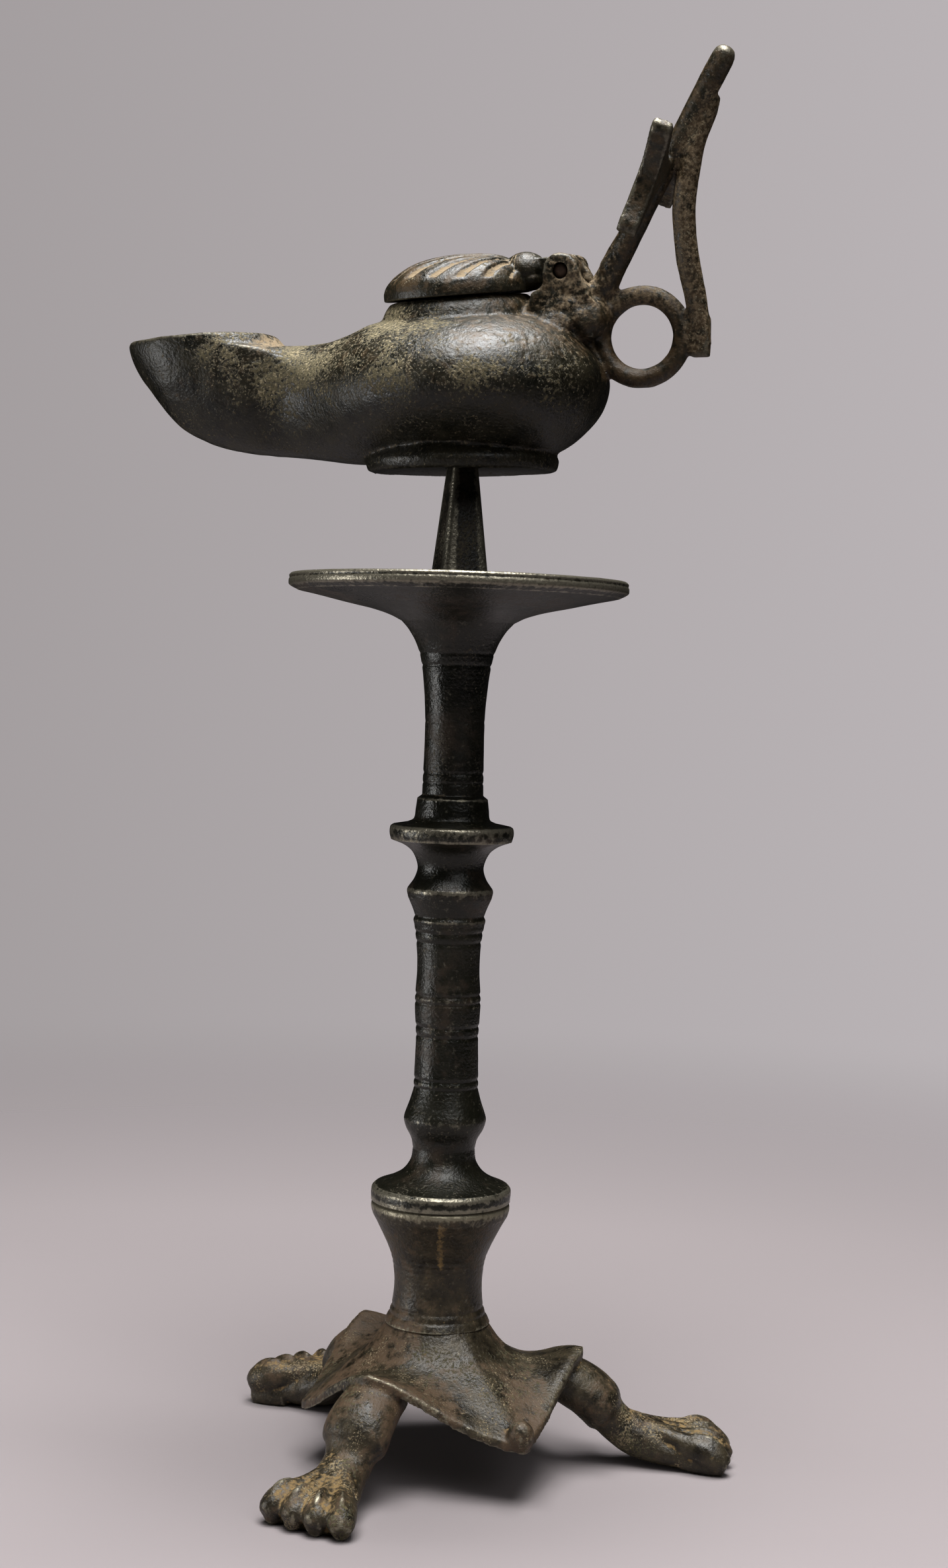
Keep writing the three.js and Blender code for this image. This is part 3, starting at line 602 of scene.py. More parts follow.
def finished(obj, matrix, body, node, material):
    """Puts a piece in the solids' frame and has it stand for its node."""
    points = points_of(obj) @ matrix[:3, :3].T + matrix[:3, 3]
    put_points(obj, (points + AXIS) * METRES)
    obj.data.materials.clear()
    obj.data.materials.append(material)
    obj.data.shade_smooth()
    obj.data.set_sharp_from_angle(angle=math.radians(SHARP_ANGLE))
    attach(obj, body)
    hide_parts(node)


STAND_FRAME = np.eye(4)
LAMP_FRAME = (
    shift(0, 0, LAMP_FOOT_HEIGHT + LAMP_PIVOT)
    @ turn("Z", LAMP_YAW)
    @ turn("X", LAMP_ROLL)
    @ turn("Y", -LAMP_PITCH)
    @ shift(0, 0, -LAMP_PIVOT)
)
COLLAR_FRAME = shift(*COLLAR_CENTRE) @ turn("X", COLLAR_ROLL) @ turn("Y", -COLLAR_PITCH)


# Finishes: grain of the bare skin, turning lines, and how a coat's mark turns into cover
GRIT_MM = 0.9
GRIT_DEPTH_MM = 0.22
TURNING_DEPTH_MM = 0.05
COVER_SPREAD = 0.42
COVER_EDGE = 0.74
# the worn coat is edges rubbed back to metal, drawn lighter so that it also paints edge highlights
COATS = ("worn", "hollow", "crust", "pale_crust", "brown")


def linear(colour):
    """An sRGB hex colour as linear red, green, blue and alpha."""
    channels = [int(colour[i:i + 2], 16) / 255 for i in (1, 3, 5)]
    return [c / 12.92 if c <= 0.04045 else ((c + 0.055) / 1.055) ** 2.4 for c in channels] + [1]


def add(tree, kind, inputs=None, **settings):
    """One shader node with its settings, and each input as a value or as another node's socket."""
    node = tree.nodes.new("ShaderNode" + kind)
    for name, value in settings.items():
        setattr(node, name, value)
    for name, value in (inputs or {}).items():
        if isinstance(value, bpy.types.NodeSocket):
            tree.links.new(value, node.inputs[name])
        else:
            node.inputs[name].default_value = value
    return node


def surface(name):
    """A material, its emptied node tree and the object's own coordinates in metres."""
    material = bpy.data.materials.new(name)
    material.use_nodes = True
    tree = material.node_tree
    tree.nodes.clear()
    where = add(tree, "TexCoord").outputs["Object"]
    return material, tree, where


# Patinated bronze, cast and then turned or filed: a dark mineral skin with little of the metal's own
# shine. Each coat lies in specks over the places that its attribute marks: brown oxide, olive and pale
# crust, burial dirt in the hollows, and edges rubbed back to dull metal, drawn lighter so that they
# also paint the highlights along the edges.
def patinated_bronze(name, skin, coats, turning_marks):
    material, tree, where = surface(name)
    dark, light, cloud_mm, roughness, metallic = skin
    cloud = {"Vector": where, "Scale": 1000 / cloud_mm, "Detail": 6.0, "Roughness": 0.68}
    clouds = add(tree, "TexNoise", cloud).outputs["Fac"]
    cloud_span = {"Value": clouds, "From Min": 0.36, "From Max": 0.64}
    share = add(tree, "MapRange", cloud_span).outputs[0]
    tones = {0: share, 6: linear(dark), 7: linear(light)}
    colour = add(tree, "Mix", tones, data_type="RGBA").outputs[2]
    gloss = add(tree, "Mix", {0: share, 2: roughness - 0.05, 3: roughness + 0.09}).outputs[0]
    grain = {"Vector": where, "Scale": 1000 / GRIT_MM, "Detail": 4.0}
    grit = add(tree, "TexNoise", grain).outputs["Fac"]
    height = add(tree, "Math", {0: grit, 1: GRIT_DEPTH_MM}, operation="MULTIPLY").outputs[0]
    bare = metallic
    for place, speck_mm, sharp, coat_colour, coat_roughness, coat_metallic, lift_mm in coats:
        cover = add(tree, "Attribute", attribute_name=place).outputs["Fac"]
        speck = {"Vector": where, "Scale": 1000 / speck_mm, "Detail": 4.0, "Roughness": 0.6}
        specks = add(tree, "TexNoise", speck).outputs["Fac"]
        spread = {0: cover, 1: COVER_SPREAD, 2: specks}
        reach = add(tree, "Math", spread, operation="MULTIPLY_ADD").outputs[0]
        edge = {"Value": reach, "From Min": COVER_EDGE - sharp, "From Max": COVER_EDGE + sharp}
        share = add(tree, "MapRange", edge, interpolation_type="SMOOTHSTEP").outputs[0]
        tones = {0: share, 6: colour, 7: linear(coat_colour)}
        colour = add(tree, "Mix", tones, data_type="RGBA").outputs[2]
        gloss = add(tree, "Mix", {0: share, 2: gloss, 3: coat_roughness}).outputs[0]
        bare = add(tree, "Mix", {0: share, 2: bare, 3: coat_metallic}).outputs[0]
        lifted = {0: share, 1: lift_mm, 2: height}
        height = add(tree, "Math", lifted, operation="MULTIPLY_ADD").outputs[0]
    if turning_marks:
        stretched = add(tree, "Mapping", {"Vector": where, "Scale": (30, 30, 1400)}).outputs[0]
        line = {"Vector": stretched, "Scale": 1.0, "Detail": 2.0}
        lines = add(tree, "TexNoise", line).outputs["Fac"]
        marks = {0: lines, 1: TURNING_DEPTH_MM, 2: height}
        height = add(tree, "Math", marks, operation="MULTIPLY_ADD").outputs[0]
    relief = add(tree, "Bump", {"Strength": 1.0, "Distance": METRES, "Height": height}).outputs[0]
    inputs = {"Base Color": colour, "Roughness": gloss, "Metallic": bare, "Normal": relief}
    shader = add(tree, "BsdfPrincipled", inputs)
    add(tree, "OutputMaterial", {"Surface": shader.outputs[0]})
    return material


# Corroded wrought iron: rust-brown scale with no gloss
def corroded_iron(name):
    material, tree, where = surface(name)
    scale = add(tree, "TexNoise", {"Vector": where, "Scale": 1000 / 1.2, "Detail": 5.0})
    inputs = {0: scale.outputs["Fac"], 6: linear("#1c1611"), 7: linear("#4a3423")}
    colour = add(tree, "Mix", inputs, data_type="RGBA").outputs[2]
    bump = {"Strength": 0.6, "Distance": 0.3 * METRES, "Height": scale.outputs["Fac"]}
    relief = add(tree, "Bump", bump)
    inputs = {"Base Color": colour, "Roughness": 0.85, "Metallic": 0.2, "Normal": relief.outputs[0]}
    shader = add(tree, "BsdfPrincipled", inputs)
    add(tree, "OutputMaterial", {"Surface": shader.outputs[0]})
    return material


# Skins as (dark, light, size of the clouds in mm, roughness, metallic)
LAMP_SKIN = ("#0f0f07", "#2b2719", 7, 0.36, 0)
SHAFT_SKIN = ("#111209", "#232117", 18, 0.32, 0.1)
TRIPOD_SKIN = ("#221e16", "#4a4232", 6, 0.38, 0.1)
# Coats as (attribute, speck in mm, softness of its edge, colour, roughness, metallic, lift in mm)
LAMP_COATS = [
    ("brown", 2.4, 0.16, "#463722", 0.55, 0, 0.01),
    ("crust", 1.2, 0.08, "#59523c", 0.8, 0, 0.1),
    ("pale_crust", 0.7, 0.06, "#8d8268", 0.85, 0, 0.07),
    ("hollow", 1.2, 0.16, "#7f7059", 0.85, 0, 0.02),
    # lighter edge coat: rubbed metal and painted edge highlights
    ("worn", 1.4, 0.18, "#676255", 0.34, 0.5, 0),
]
SHAFT_COATS = [
    ("brown", 4, 0.16, "#362d22", 0.48, 0.1, 0),
    ("hollow", 1.4, 0.12, "#4b4233", 0.8, 0, 0.01),
    ("pale_crust", 0.7, 0.08, "#686150", 0.75, 0, 0.04),
    # lighter edge coat: rubbed metal and painted edge highlights
    ("worn", 1.6, 0.16, "#837e70", 0.3, 0.6, 0),
]
TRIPOD_COATS = [
    ("brown", 3, 0.16, "#574736", 0.6, 0, 0.01),
    ("crust", 0.9, 0.08, "#56523a", 0.85, 0, 0.06),
    ("hollow", 1.3, 0.14, "#85704c", 0.85, 0, 0.03),
    ("pale_crust", 0.6, 0.07, "#8f8268", 0.85, 0, 0.05),
    # lighter edge coat: rubbed metal and painted edge highlights
    ("worn", 1.4, 0.16, "#857f6e", 0.36, 0.5, 0),
]
LAMP_BRONZE = patinated_bronze("patinated_bronze_lamp", LAMP_SKIN, LAMP_COATS, False)
SHAFT_BRONZE = patinated_bronze("patinated_bronze_shaft", SHAFT_SKIN, SHAFT_COATS, True)
TRIPOD_BRONZE = patinated_bronze("patinated_bronze_tripod", TRIPOD_SKIN, TRIPOD_COATS, False)
PIN_IRON = corroded_iron("corroded_iron_pin")


# Shaft: pricket, drip pan, column and balusters


def pricket_side(height):
    return PRICKET_SIDE_AT_PAN - (height - PAN_RIM_HEIGHT) * PRICKET_TAPER


def shaft_piece():
    outline = mouldings(SHAFT_OUTLINE)
    obj = made("bronze_shaft", lathe(grooved(outline, SHAFT_GROOVES), SHAFT_SEGMENTS))
    points = points_of(obj)
    up = points[:, 2]
    bow = np.exp(-((up - SHAFT_BOW_HEIGHT) / SHAFT_BOW_SPREAD) ** 2) * ramp(up, 80.4, 90)
    points[:, 0] += SHAFT_BOW * bow
    put_points(obj, points)
    skin = 0.05 * noise(points, 7, 1) + 0.03 * noise(points, 2.4, 2)
    swell(obj, skin * ramp(up, 81, 84))
    levels = [(pricket_side(height), height) for height in np.linspace(PRICKET_FOOT, PRICKET_TIP - 3, 40)]
    levels += [(2.6, PRICKET_TIP - 1), (1.2, PRICKET_TIP)]
    combine(obj, "UNION", square_bar(levels, PRICKET_TURN, PRICKET_SQUARENESS))
    height = proud(obj, 10)
    points = points_of(obj)
    cloudy = ramp(noise(points, 9, 5) + 0.5 * noise(points, 4, 6), -0.2, 0.9)
    on_spike = ramp(points[:, 2], 268, 272) * ramp(-points[:, 2], -296, -276)
    mark(
        obj,
        # convex edges get the lighter edge coat: wear and painted edge highlights
        worn=0.9 * ramp(height, 0.08, 0.26),
        hollow=0.6 * ramp(-height, 0.06, 0.25),
        pale_crust=0.3 * cloudy + 0.35 * on_spike,
        brown=0.7 * ramp(noise(points, 16, 7), -0.3, 0.8),
    )
    finished(obj, STAND_FRAME, "stand_and_lamp", "shaft_with_pan", SHAFT_BRONZE)


# Tripod


def skirt_span(azimuth):
    """How far an azimuth lies from a leg's corner to a lobe, with the span's width, reaches and bow."""
    for number, (corner, lobe) in enumerate(zip(SKIRT_CORNERS, SKIRT_LOBES)):
        follower = SKIRT_CORNERS[(number + 1) % 3]
        follower = (follower[0] + (360 if number == 2 else 0), follower[1])
        for side, end in enumerate((corner, follower)):
            if (azimuth - end[0]) * (azimuth - lobe[0]) <= 0:
                share = (azimuth - end[0]) / (lobe[0] - end[0])
                return share, math.radians(abs(lobe[0] - end[0])), end[1], lobe[1], SKIRT_BOWS[number][side]


def skirt_form():
    azimuths = np.arange(SKIRT_COLUMNS) * 360 / SKIRT_COLUMNS
    spans = np.array([skirt_span(azimuth) for azimuth in azimuths])
    share, width, corner, lobe, bow = spans.T
    edge = corner * np.sin(width * share) + lobe * np.sin(width * (1 - share))
    reach = corner * lobe * np.sin(width) / edge + bow * 4 * share * (1 - share)
    window = np.ones(SKIRT_ROUNDING) / SKIRT_ROUNDING
    reach = np.convolve(np.tile(reach, 3), window, "same")[SKIRT_COLUMNS:2 * SKIRT_COLUMNS]
    leg_weight = 0.55 * (1 - share) + 0.225 * (1 + np.cos(np.pi * share))
    angles = np.radians(azimuths)

    def ring(outward, drop):
        radius = NECK_RADIUS + (reach - NECK_RADIUS) * outward
        lobe_height = through(TOWARDS_LOBE, outward)
        height = lobe_height + (through(TOWARDS_LEG, outward) - lobe_height) * leg_weight - drop
        return np.column_stack([radius * np.cos(angles), radius * np.sin(angles), height])

    top = [ring(outward, 0) for outward in np.linspace(0, 1, 40)]
    under = [ring(outward, SKIRT_THICKNESS) for outward in np.linspace(1, 0, 24)]
    return loft([*top, *under])


def leg_forms(azimuth, paw_reach, swing, lift):
    """One lion leg: thigh, ankle and foot, tendons that swell into toes, and their claws."""
    stretch = (paw_reach - LEG_ROOT) / (PAW_REACH - LEG_ROOT)

    def at(reach, sideways, height):
        swung = np.maximum(reach - ANKLE_REACH, 0) * math.tan(math.radians(swing))
        return np.stack([LEG_ROOT + (reach - LEG_ROOT) * stretch, swung + sideways, height], -1)

    def lifted(reach):
        return lift * np.clip((reach - PAW_LIFT_FROM) / PAW_LIFT_SPAN, 0, 1)

    fine = drawn((LEG_SECTIONS, 0.8))
    reach, height, lean, width, depth = fine.T
    lean = np.radians(lean)
    across = np.tile((0.0, 1.0, 0.0), (len(fine), 1))
    along = np.column_stack([np.sin(lean), 0 * lean, np.cos(lean)])
    centres = at(reach, 0 * reach, height + lifted(reach) / 2)
    forms = [bar(centres, across, along, width, depth + lifted(reach) / 2, 40)]
    for toe in range(TOES):
        place = 2 * toe / (TOES - 1) - 1
        fan = math.tan(math.radians(TOE_FAN * place))
        for spots, rises in ((TOE_SPOTS, 1), (CLAW_SPOTS, 1), (PAD_SPOTS, 0)):
            along, height, radius = np.array(spots, float).T
            shorter = OUTER_TOES_SHORTER * abs(place)
            reach = along - shorter * (along - TENDON_START) / (PAW_REACH - TENDON_START)
            centres = at(reach, (reach - TENDON_START) * fan, height + rises * lifted(along))
            forms.append(rod(np.column_stack([centres, radius + TOE_SWELL * lifted(along)]), 16, 0.7))
    return [placed(form, turn("Z", azimuth)) for form in forms]


def tripod_piece():
    knob_azimuth, lobe_reach = SKIRT_LOBES[2]
    knob = placed(ball((lobe_reach - KNOB_INSET, 0, KNOB_HEIGHT), KNOB_RADII, 16), turn("Z", knob_azimuth))
    forms = [skirt_form(), knob]
    for leg in LEGS:
        forms += leg_forms(**leg)
    for points, _ in forms:
        points[:, 2] = np.maximum(points[:, 2], 0)
    obj = fuse("bronze_tripod", TRIPOD_GRAIN, *forms)
    soften(obj, 2)
    points = points_of(obj)
    on_paws = ramp(np.linalg.norm(points[:, :2], axis=1), 50, 62)
    pits = -0.3 * ramp(noise(points, 1.8, 15), 0.4, 0.85) * ramp(noise(points, 9, 16), -0.1, 0.6)
    skin = 0.16 * noise(points, 8, 11) + (0.07 + 0.1 * on_paws) * noise(points, 2.6, 12)
    swell(obj, (skin + pits * (0.3 + 0.7 * on_paws)) * ramp(points[:, 2], 0.5, 3))
    points = points_of(obj)
    points[:, 2] = np.where(points[:, 2] < 0.3, 0, points[:, 2])
    put_points(obj, points)
    neck = lathe(grooved(mouldings(NECK_OUTLINE), NECK_GROOVES), NECK_SEGMENTS)
    skin = 0.08 * noise(neck[0], 7, 13) * ramp(79.6 - neck[0][:, 2], 0, 3)
    neck[0][:, :2] *= 1 + skin[:, None] / 14
    combine(obj, "UNION", neck)
    height = proud(obj, 16)
    points = points_of(obj)
    reach = np.linalg.norm(points[:, :2], axis=1)
    on_paws = ramp(reach, 48, 60)
    drip = np.exp(-((points[:, 0] - 0.5) / 0.9) ** 2) * ramp(points[:, 2], 60, 64) * (points[:, 1] < 0)
    drip *= ramp(-points[:, 2], -79, -76)
    cloudy = ramp(noise(points, 10, 14) + 0.5 * noise(points, 4, 17), -0.2, 0.9)
    below_neck = ramp(-points[:, 2], -52, -42)
    upward = ramp(normals_of(obj)[:, 2], 0.2, 0.8)
    tops = on_paws * upward * ramp(noise(points, 7, 20), -0.7, 0.5) * ramp(-height, -0.3, 0)
    tops *= PAW_DIRT
    oxide = 0.75 * ramp(noise(points, 13, 19), -0.5, 0.5)
    mark(
        obj,
        # convex edges get the lighter edge coat: wear and painted edge highlights
        worn=0.9 * ramp(height, 0.16, 0.44),
        hollow=np.maximum.reduce([ramp(-height, 0.05, 0.3) * (0.4 + 0.5 * on_paws), 0.85 * drip, tops]),
        crust=(0.36 + 0.24 * on_paws) * cloudy * below_neck,
        pale_crust=(0.34 + 0.16 * on_paws) * ramp(noise(points, 6, 18), -0.3, 0.8) * below_neck,
        brown=oxide * (1 - 0.4 * on_paws) * (0.4 + 0.6 * below_neck),
    )
    finished(obj, STAND_FRAME, "stand_and_lamp", "tripod_base", TRIPOD_BRONZE)


# Lamp


def rim_height(x):
    """Height of the nozzle's rim, which rises to the back and rounds off at the tip."""
    past_tip = np.maximum(NOZZLE_TIP - x, 0)
    return NOZZLE_RIM + NOZZLE_RIM_SLOPE * (x - NOZZLE_RIM_X) - NOZZLE_TIP_ROUND * past_tip ** 2


def body_rings(stations, sides, inset, deck):
    """Rings along the body: a flat rim on the nozzle that rounds off and slopes down to the neck."""
    x = np.asarray(stations, float)[:, None]
    angles = 2 * np.pi * (np.arange(sides) + 0.5) / sides
    rise = np.sin(angles)
    bow = np.abs(rise)
    keel = through(KEEL, x) + inset
    crown = through(CROWN, np.maximum(x, CROWN[0][0])) - inset
    widest = np.minimum(through(WIDEST, x), crown)
    rim = rim_height(x) - deck
    step_start, step_end = NOZZLE_STEP
    back = NOZZLE_BACK - NOZZLE_BACK_ROUND * (1 - bow)
    on_nozzle = 1 - ramp(x - back, step_start, step_end)
    side_back = NOZZLE_BACK - NOZZLE_BACK_ROUND
    side = widest + (rim - widest) * (1 - ramp(x - side_back, step_start, step_end))
    neck = widest + (crown - widest) * bow
    top = neck + (rim - neck) * on_nozzle
    height = np.where(rise > 0, top, side - (side - keel) * bow)
    half_width = np.maximum(through(HALF_WIDTH, x) - inset, 0.6)
    return np.stack([x + 0 * rise, half_width * np.cos(angles), height], 2)


def nozzle_plan(front, back, inset):
    """A level outline over the nozzle, as wide as the body less an inset and round at its back."""
    round_from = back - NOZZLE_BACK_ROUND
    steps = 40
    x = front + (back - front) * (1 - (1 - np.arange(steps + 1) / steps) ** 2)
    round_off = np.sqrt(1 - (np.maximum(x - round_from, 0) / (back - round_from)) ** 2)
    y = np.maximum(through(HALF_WIDTH, x) - inset, 0) * round_off
    half = np.column_stack([x, y])
    return np.vstack([half, (half[1:-1] * (1, -1))[::-1]])


def round_end(radius, start, end):
    angles = np.radians(np.linspace(start, end, 24))
    return [(PIN_X + radius * math.cos(angle), PIN_Z + radius * math.sin(angle)) for angle in angles]


def hinge_plate(outline, start, end):
    """A plate in the collar's frame, from one sideways place to another."""
    return placed(slab(outline, -end, -start), turn("X", 90))


def hinge_room(radius, half):
    """A round space about the pin's axis."""
    outline = np.array([(0.4, half), (radius, half), (radius, -half), (0.4, -half)])
    return placed(lathe(outline, 40), shift(PIN_X, 0, PIN_Z) @ turn("X", 90))


def pin_bore():
    return hinge_room(PIN_RADIUS + PIN_CLEARANCE, EAR_OUTER + 4)


def bent(start, control, end):
    """Points on a curve pulled towards a control point, without its start."""
    t = np.linspace(0, 1, 19)[1:, None]
    start, control, end = np.array([start, control, end], float)
    return (1 - t) ** 2 * start + 2 * t * (1 - t) * control + t * t * end


def cross_forms():
    rise, width, depth = drawn((POST, 1)).T
    centres = np.column_stack([0 * rise, 0 * rise, rise])
    across = np.tile((0.0, 1.0, 0.0), (len(rise), 1))
    along = np.tile((-1.0, 0.0, 0.0), (len(rise), 1))
    post = bar(centres, across, along, width, depth, 32)
    neck = 2.9
    waist = 0.62
    notch = 5.5
    notch_pull = 1.6
    tip_width = 3.6
    corner_in = 2
    corner_down = 1.2
    outline = [np.array([(0, neck)])]
    for side in (1, -1):
        end = side * CROSS_HALF_SPAN
        tip = side * CROSS_TIP
        edge = side * tip_width
        inner = end - side * corner_in
        hollow = end - side * notch * notch_pull
        outline += [
            bent((0, side * neck), (end * waist, side * neck), (inner, tip)),
            np.array([(end, tip - side * corner_down), (end, tip - edge)]),
            bent((end, tip - edge), (hollow, 0), (end, edge - tip)),
            np.array([(end, side * corner_down - tip), (inner, -tip)]),
            bent((inner, -tip), (end * waist, -side * neck), (0, -side * neck)),
        ]
    plate = slab(np.vstack(outline)[:-1], -CROSS_THICKNESS / 2, CROSS_THICKNESS / 2)
    across_post = turn("Y", -CROSS_TWIST) @ turn("Z", 90) @ turn("X", 90)
    upright = shift(-CROSS_ARM_SET, 0, CROSS_JUNCTION) @ across_post
    lean = shift(*CROSS_FOOT) @ turn("X", CROSS_ROLL) @ turn("Y", CROSS_LEAN)
    return [placed(post, lean), placed(placed(plate, upright), lean)]


def ring_form():
    """The finger ring, a round bar bent to a circle."""
    angles = np.linspace(0, 2 * np.pi, RING_COLUMNS + 1)[:-1]
    section = np.linspace(0, 2 * np.pi, RING_SIDES + 1)[:-1]
    reach = RING_RADIUS + RING_BAR * np.cos(section)
    x = np.outer(np.cos(angles), reach)
    z = np.outer(np.sin(angles), reach)
    y = np.tile(RING_BAR * np.sin(section), (len(angles), 1))
    points = np.stack([x, y, z], 2).reshape(-1, 3) + RING_CENTRE
    return closed(points, between_rings(RING_COLUMNS, RING_SIDES, RING_COLUMNS))


def lamp_hollow():
    return loft(body_rings(np.linspace(-102, 41, 120), 56, WALL, DECK))


def lamp_forms():
    """All that is cast in one with the body, in the lamp's own frame."""
    fine_tip = np.linspace(NOZZLE_TIP - 2.4, -100, 24)
    stations = np.concatenate([fine_tip, np.linspace(-99.6, 38, 240), np.linspace(38.4, 44.4, 20)])
    shell = loft(body_rings(stations, 120, 0, 0))
    foot = placed(lathe(mouldings(LAMP_FOOT), TURNED_SEGMENTS), shift(LAMP_FOOT_X, 0, 0))
    collar = lathe(mouldings(COLLAR), TURNED_SEGMENTS)
    outline = [*EAR_FOOT, *round_end(EAR_RADIUS, 20, 175), *EAR_FRONT]
    ears = [hinge_plate(outline, EAR_INNER, EAR_OUTER), hinge_plate(outline, -EAR_OUTER, -EAR_INNER)]
    roots = [ball((x, y, z), radii, 16) for x, y, z, radii in HINGE_ROOTS]
    askew = [placed(form, COLLAR_FRAME) for form in (collar, *ears, *roots)]
    heel = slab(HEEL, *HEEL_HEIGHTS)
    return [shell, foot, *askew, ring_form(), *cross_forms(), heel, rod(STRUT, 24, 0.8)]


def near_boss(points, spread):
    """1 in the middle of the hinge's boss, fading out over a spread along each axis."""
    return np.exp(-np.linalg.norm((points - HINGE_BOSS) / spread, axis=1) ** 2)


def lamp_skin(obj):
    """Casting lumps, corrosion pits over the shoulder and a rough boss at the hinge, in millimetres."""
    points = points_of(obj)
    x, _, z = points.T
    shoulder = ramp(z, 20, 34) * ramp(x, -78, -60) * ramp(-x, -50, -38)
    boss = near_boss(points, BOSS_LUMPS)
    skin = 0.14 * noise(points, 9, 21) + 0.07 * noise(points, 3, 22)
    pits = -0.26 * ramp(noise(points, 1.7, 23), 0.35, 0.8) * (0.2 + 0.8 * shoulder)
    rough = boss * (0.8 * noise(points, 4.2, 27) + 0.4 * noise(points, 2, 28))
    return skin + pits + rough


def lamp_coats(obj):
    """How the coats lie on the lamp, one column for each of them."""
    points = points_of(obj)
    x, y, z = points.T
    height = proud(obj, 16)
    path = drawn((np.array(STRUT)[:, :3], 2))
    from_strut = np.min(np.linalg.norm(points[:, None] - path[None], axis=2), axis=1)
    on_strut = ramp(-from_strut, -6, -4)
    from_ring = np.hypot(x - RING_CENTRE[0], z - RING_CENTRE[2])
    on_ring = ramp(-from_ring, -17, -15.5) * ramp(x, 40, 44) * ramp(-np.abs(y), -8, -5)
    boss = near_boss(points, BOSS_DIRT)
    step = np.exp(-((x + 59) / 4.5) ** 2 - ((z - 39.5) / 3.6) ** 2)
    bare = (1 - step) * (1 - boss)
    band = ramp(x, -94, -66) * ramp(-x, -46, -20) * ramp(z, 8, 32) * ramp(-z, -54, -49)
    rear = ramp(x, -8, 14) * ramp(z, 27, 36)
    band *= 1 - 0.85 * rear
    patchy = ramp(noise(points, 11, 25) + 0.8 * noise(points, 4.5, 26), -0.8, 0.9)
    streaky = ramp(noise(points * (1, 1, 0.4), 4, 29), -0.5, 0.7)
    foot = ramp(-z, -9, -6)
    return np.column_stack([
        # convex edges get the lighter edge coat: wear and painted edge highlights
        0.8 * ramp(height, 0.16, 0.42) * (1 - 0.9 * boss) * (1 - 0.6 * foot),
        np.maximum.reduce([
            0.35 * ramp(-height, 0.1, 0.4), 0.8 * step, 0.62 * boss, 0.42 * on_strut,
            # tan on the ring's upper half: dirt, and painted light on the ring's top
            0.5 * on_ring * ramp(z, 40, 50),
        ]),
        (0.54 * band * (0.5 + 0.5 * patchy) + 0.24 * patchy) * bare,
        (0.36 * band * (0.6 + 0.4 * streaky) + 0.16 * patchy) * bare + 0.2 * on_strut,
        np.maximum.reduce([0.75 * on_strut, 0.7 * on_ring, 0.75 * boss, 0.5 * rear, 0.3 * band]),
    ])


def lamp_piece():
    obj = fuse("bronze_lamp", LAMP_GRAIN, *lamp_forms())
    soften(obj, 2)
    swell(obj, lamp_skin(obj))
    points = points_of(obj)
    coats = lamp_coats(obj)
    mouth_plan = nozzle_plan(MOUTH_FRONT, MOUTH_BACK, WALL)
    depth = FILLING_DEPTH
    filling = np.array([(0.5, 6), (FILLING_RADIUS, 6), (FILLING_RADIUS, -depth), (0.5, -depth)])
    tongue_room = hinge_room(TONGUE_RADIUS + TONGUE_ROOM, EAR_INNER)
    in_collar = [placed(form, COLLAR_FRAME) for form in (lathe(filling, 72), tongue_room, pin_bore())]
    wick_mouth = slab(mouth_plan, NOZZLE_RIM - 2 * DECK, NOZZLE_RIM + 4)
    for room in (lamp_hollow(), wick_mouth, *in_collar):
        combine(obj, "DIFFERENCE", room)
    socket_turn = PRICKET_TURN - LAMP_YAW
    mouth = pricket_side(LAMP_FOOT_HEIGHT) + 2 * SOCKET_CLEARANCE
    narrowing = SOCKET_DEPTH * PRICKET_TAPER
    thick = 2 * SOCKET_WALL
    sleeve = [(mouth + thick, 1.6), (mouth - narrowing + thick, SOCKET_DEPTH + SOCKET_WALL)]
    socket = [(mouth + 2 * PRICKET_TAPER, -2), (mouth - narrowing, SOCKET_DEPTH)]
    combine(obj, "UNION", square_bar(sleeve, socket_turn, PRICKET_SQUARENESS))
    combine(obj, "DIFFERENCE", square_bar(socket, socket_turn, SOCKET_SQUARENESS))
    carry_coats(obj, points, coats, 1.0)
    finished(obj, LAMP_FRAME, "stand_and_lamp", "lamp_body", LAMP_BRONZE)


# Shell lid and its pin


def lid_height(x, y):
    chord = np.sqrt(np.maximum(LID_RADIUS ** 2 - x * x, 1e-6))
    bow = np.sqrt(np.maximum(1 - (y / chord) ** 2, 0))
    return LID_EDGE + (through(LID_RIDGE, x) - LID_EDGE) * bow


def rib_grooves(x, y):
    """Depth of the grooves between the ribs, from 0 to 1, which run from the umbo to the edge."""
    away_x = x - UMBO_X
    square = np.maximum(away_x ** 2 + y ** 2, 1e-9)
    half = UMBO_X * away_x
    stretch = (np.sqrt(half ** 2 + square * (LID_RADIUS ** 2 - UMBO_X ** 2)) - half) / square
    share = 1 / stretch
    azimuth = np.degrees(np.arctan2(y * stretch, -(UMBO_X + away_x * stretch)))
    rib = (azimuth + RIB_SECTOR / 2) / RIB_SECTOR * RIBS
    from_groove = np.abs(rib - np.round(rib))
    on_ribs = ramp(-np.abs(azimuth), -RIB_SECTOR / 2 - 6, -RIB_SECTOR / 2 + 2)
    along = ramp(share, 0.05, 0.25) * ramp(-share, -0.97, -0.9)
    return (1 - ramp(from_groove, 0.12, 0.27)) * on_ribs * along


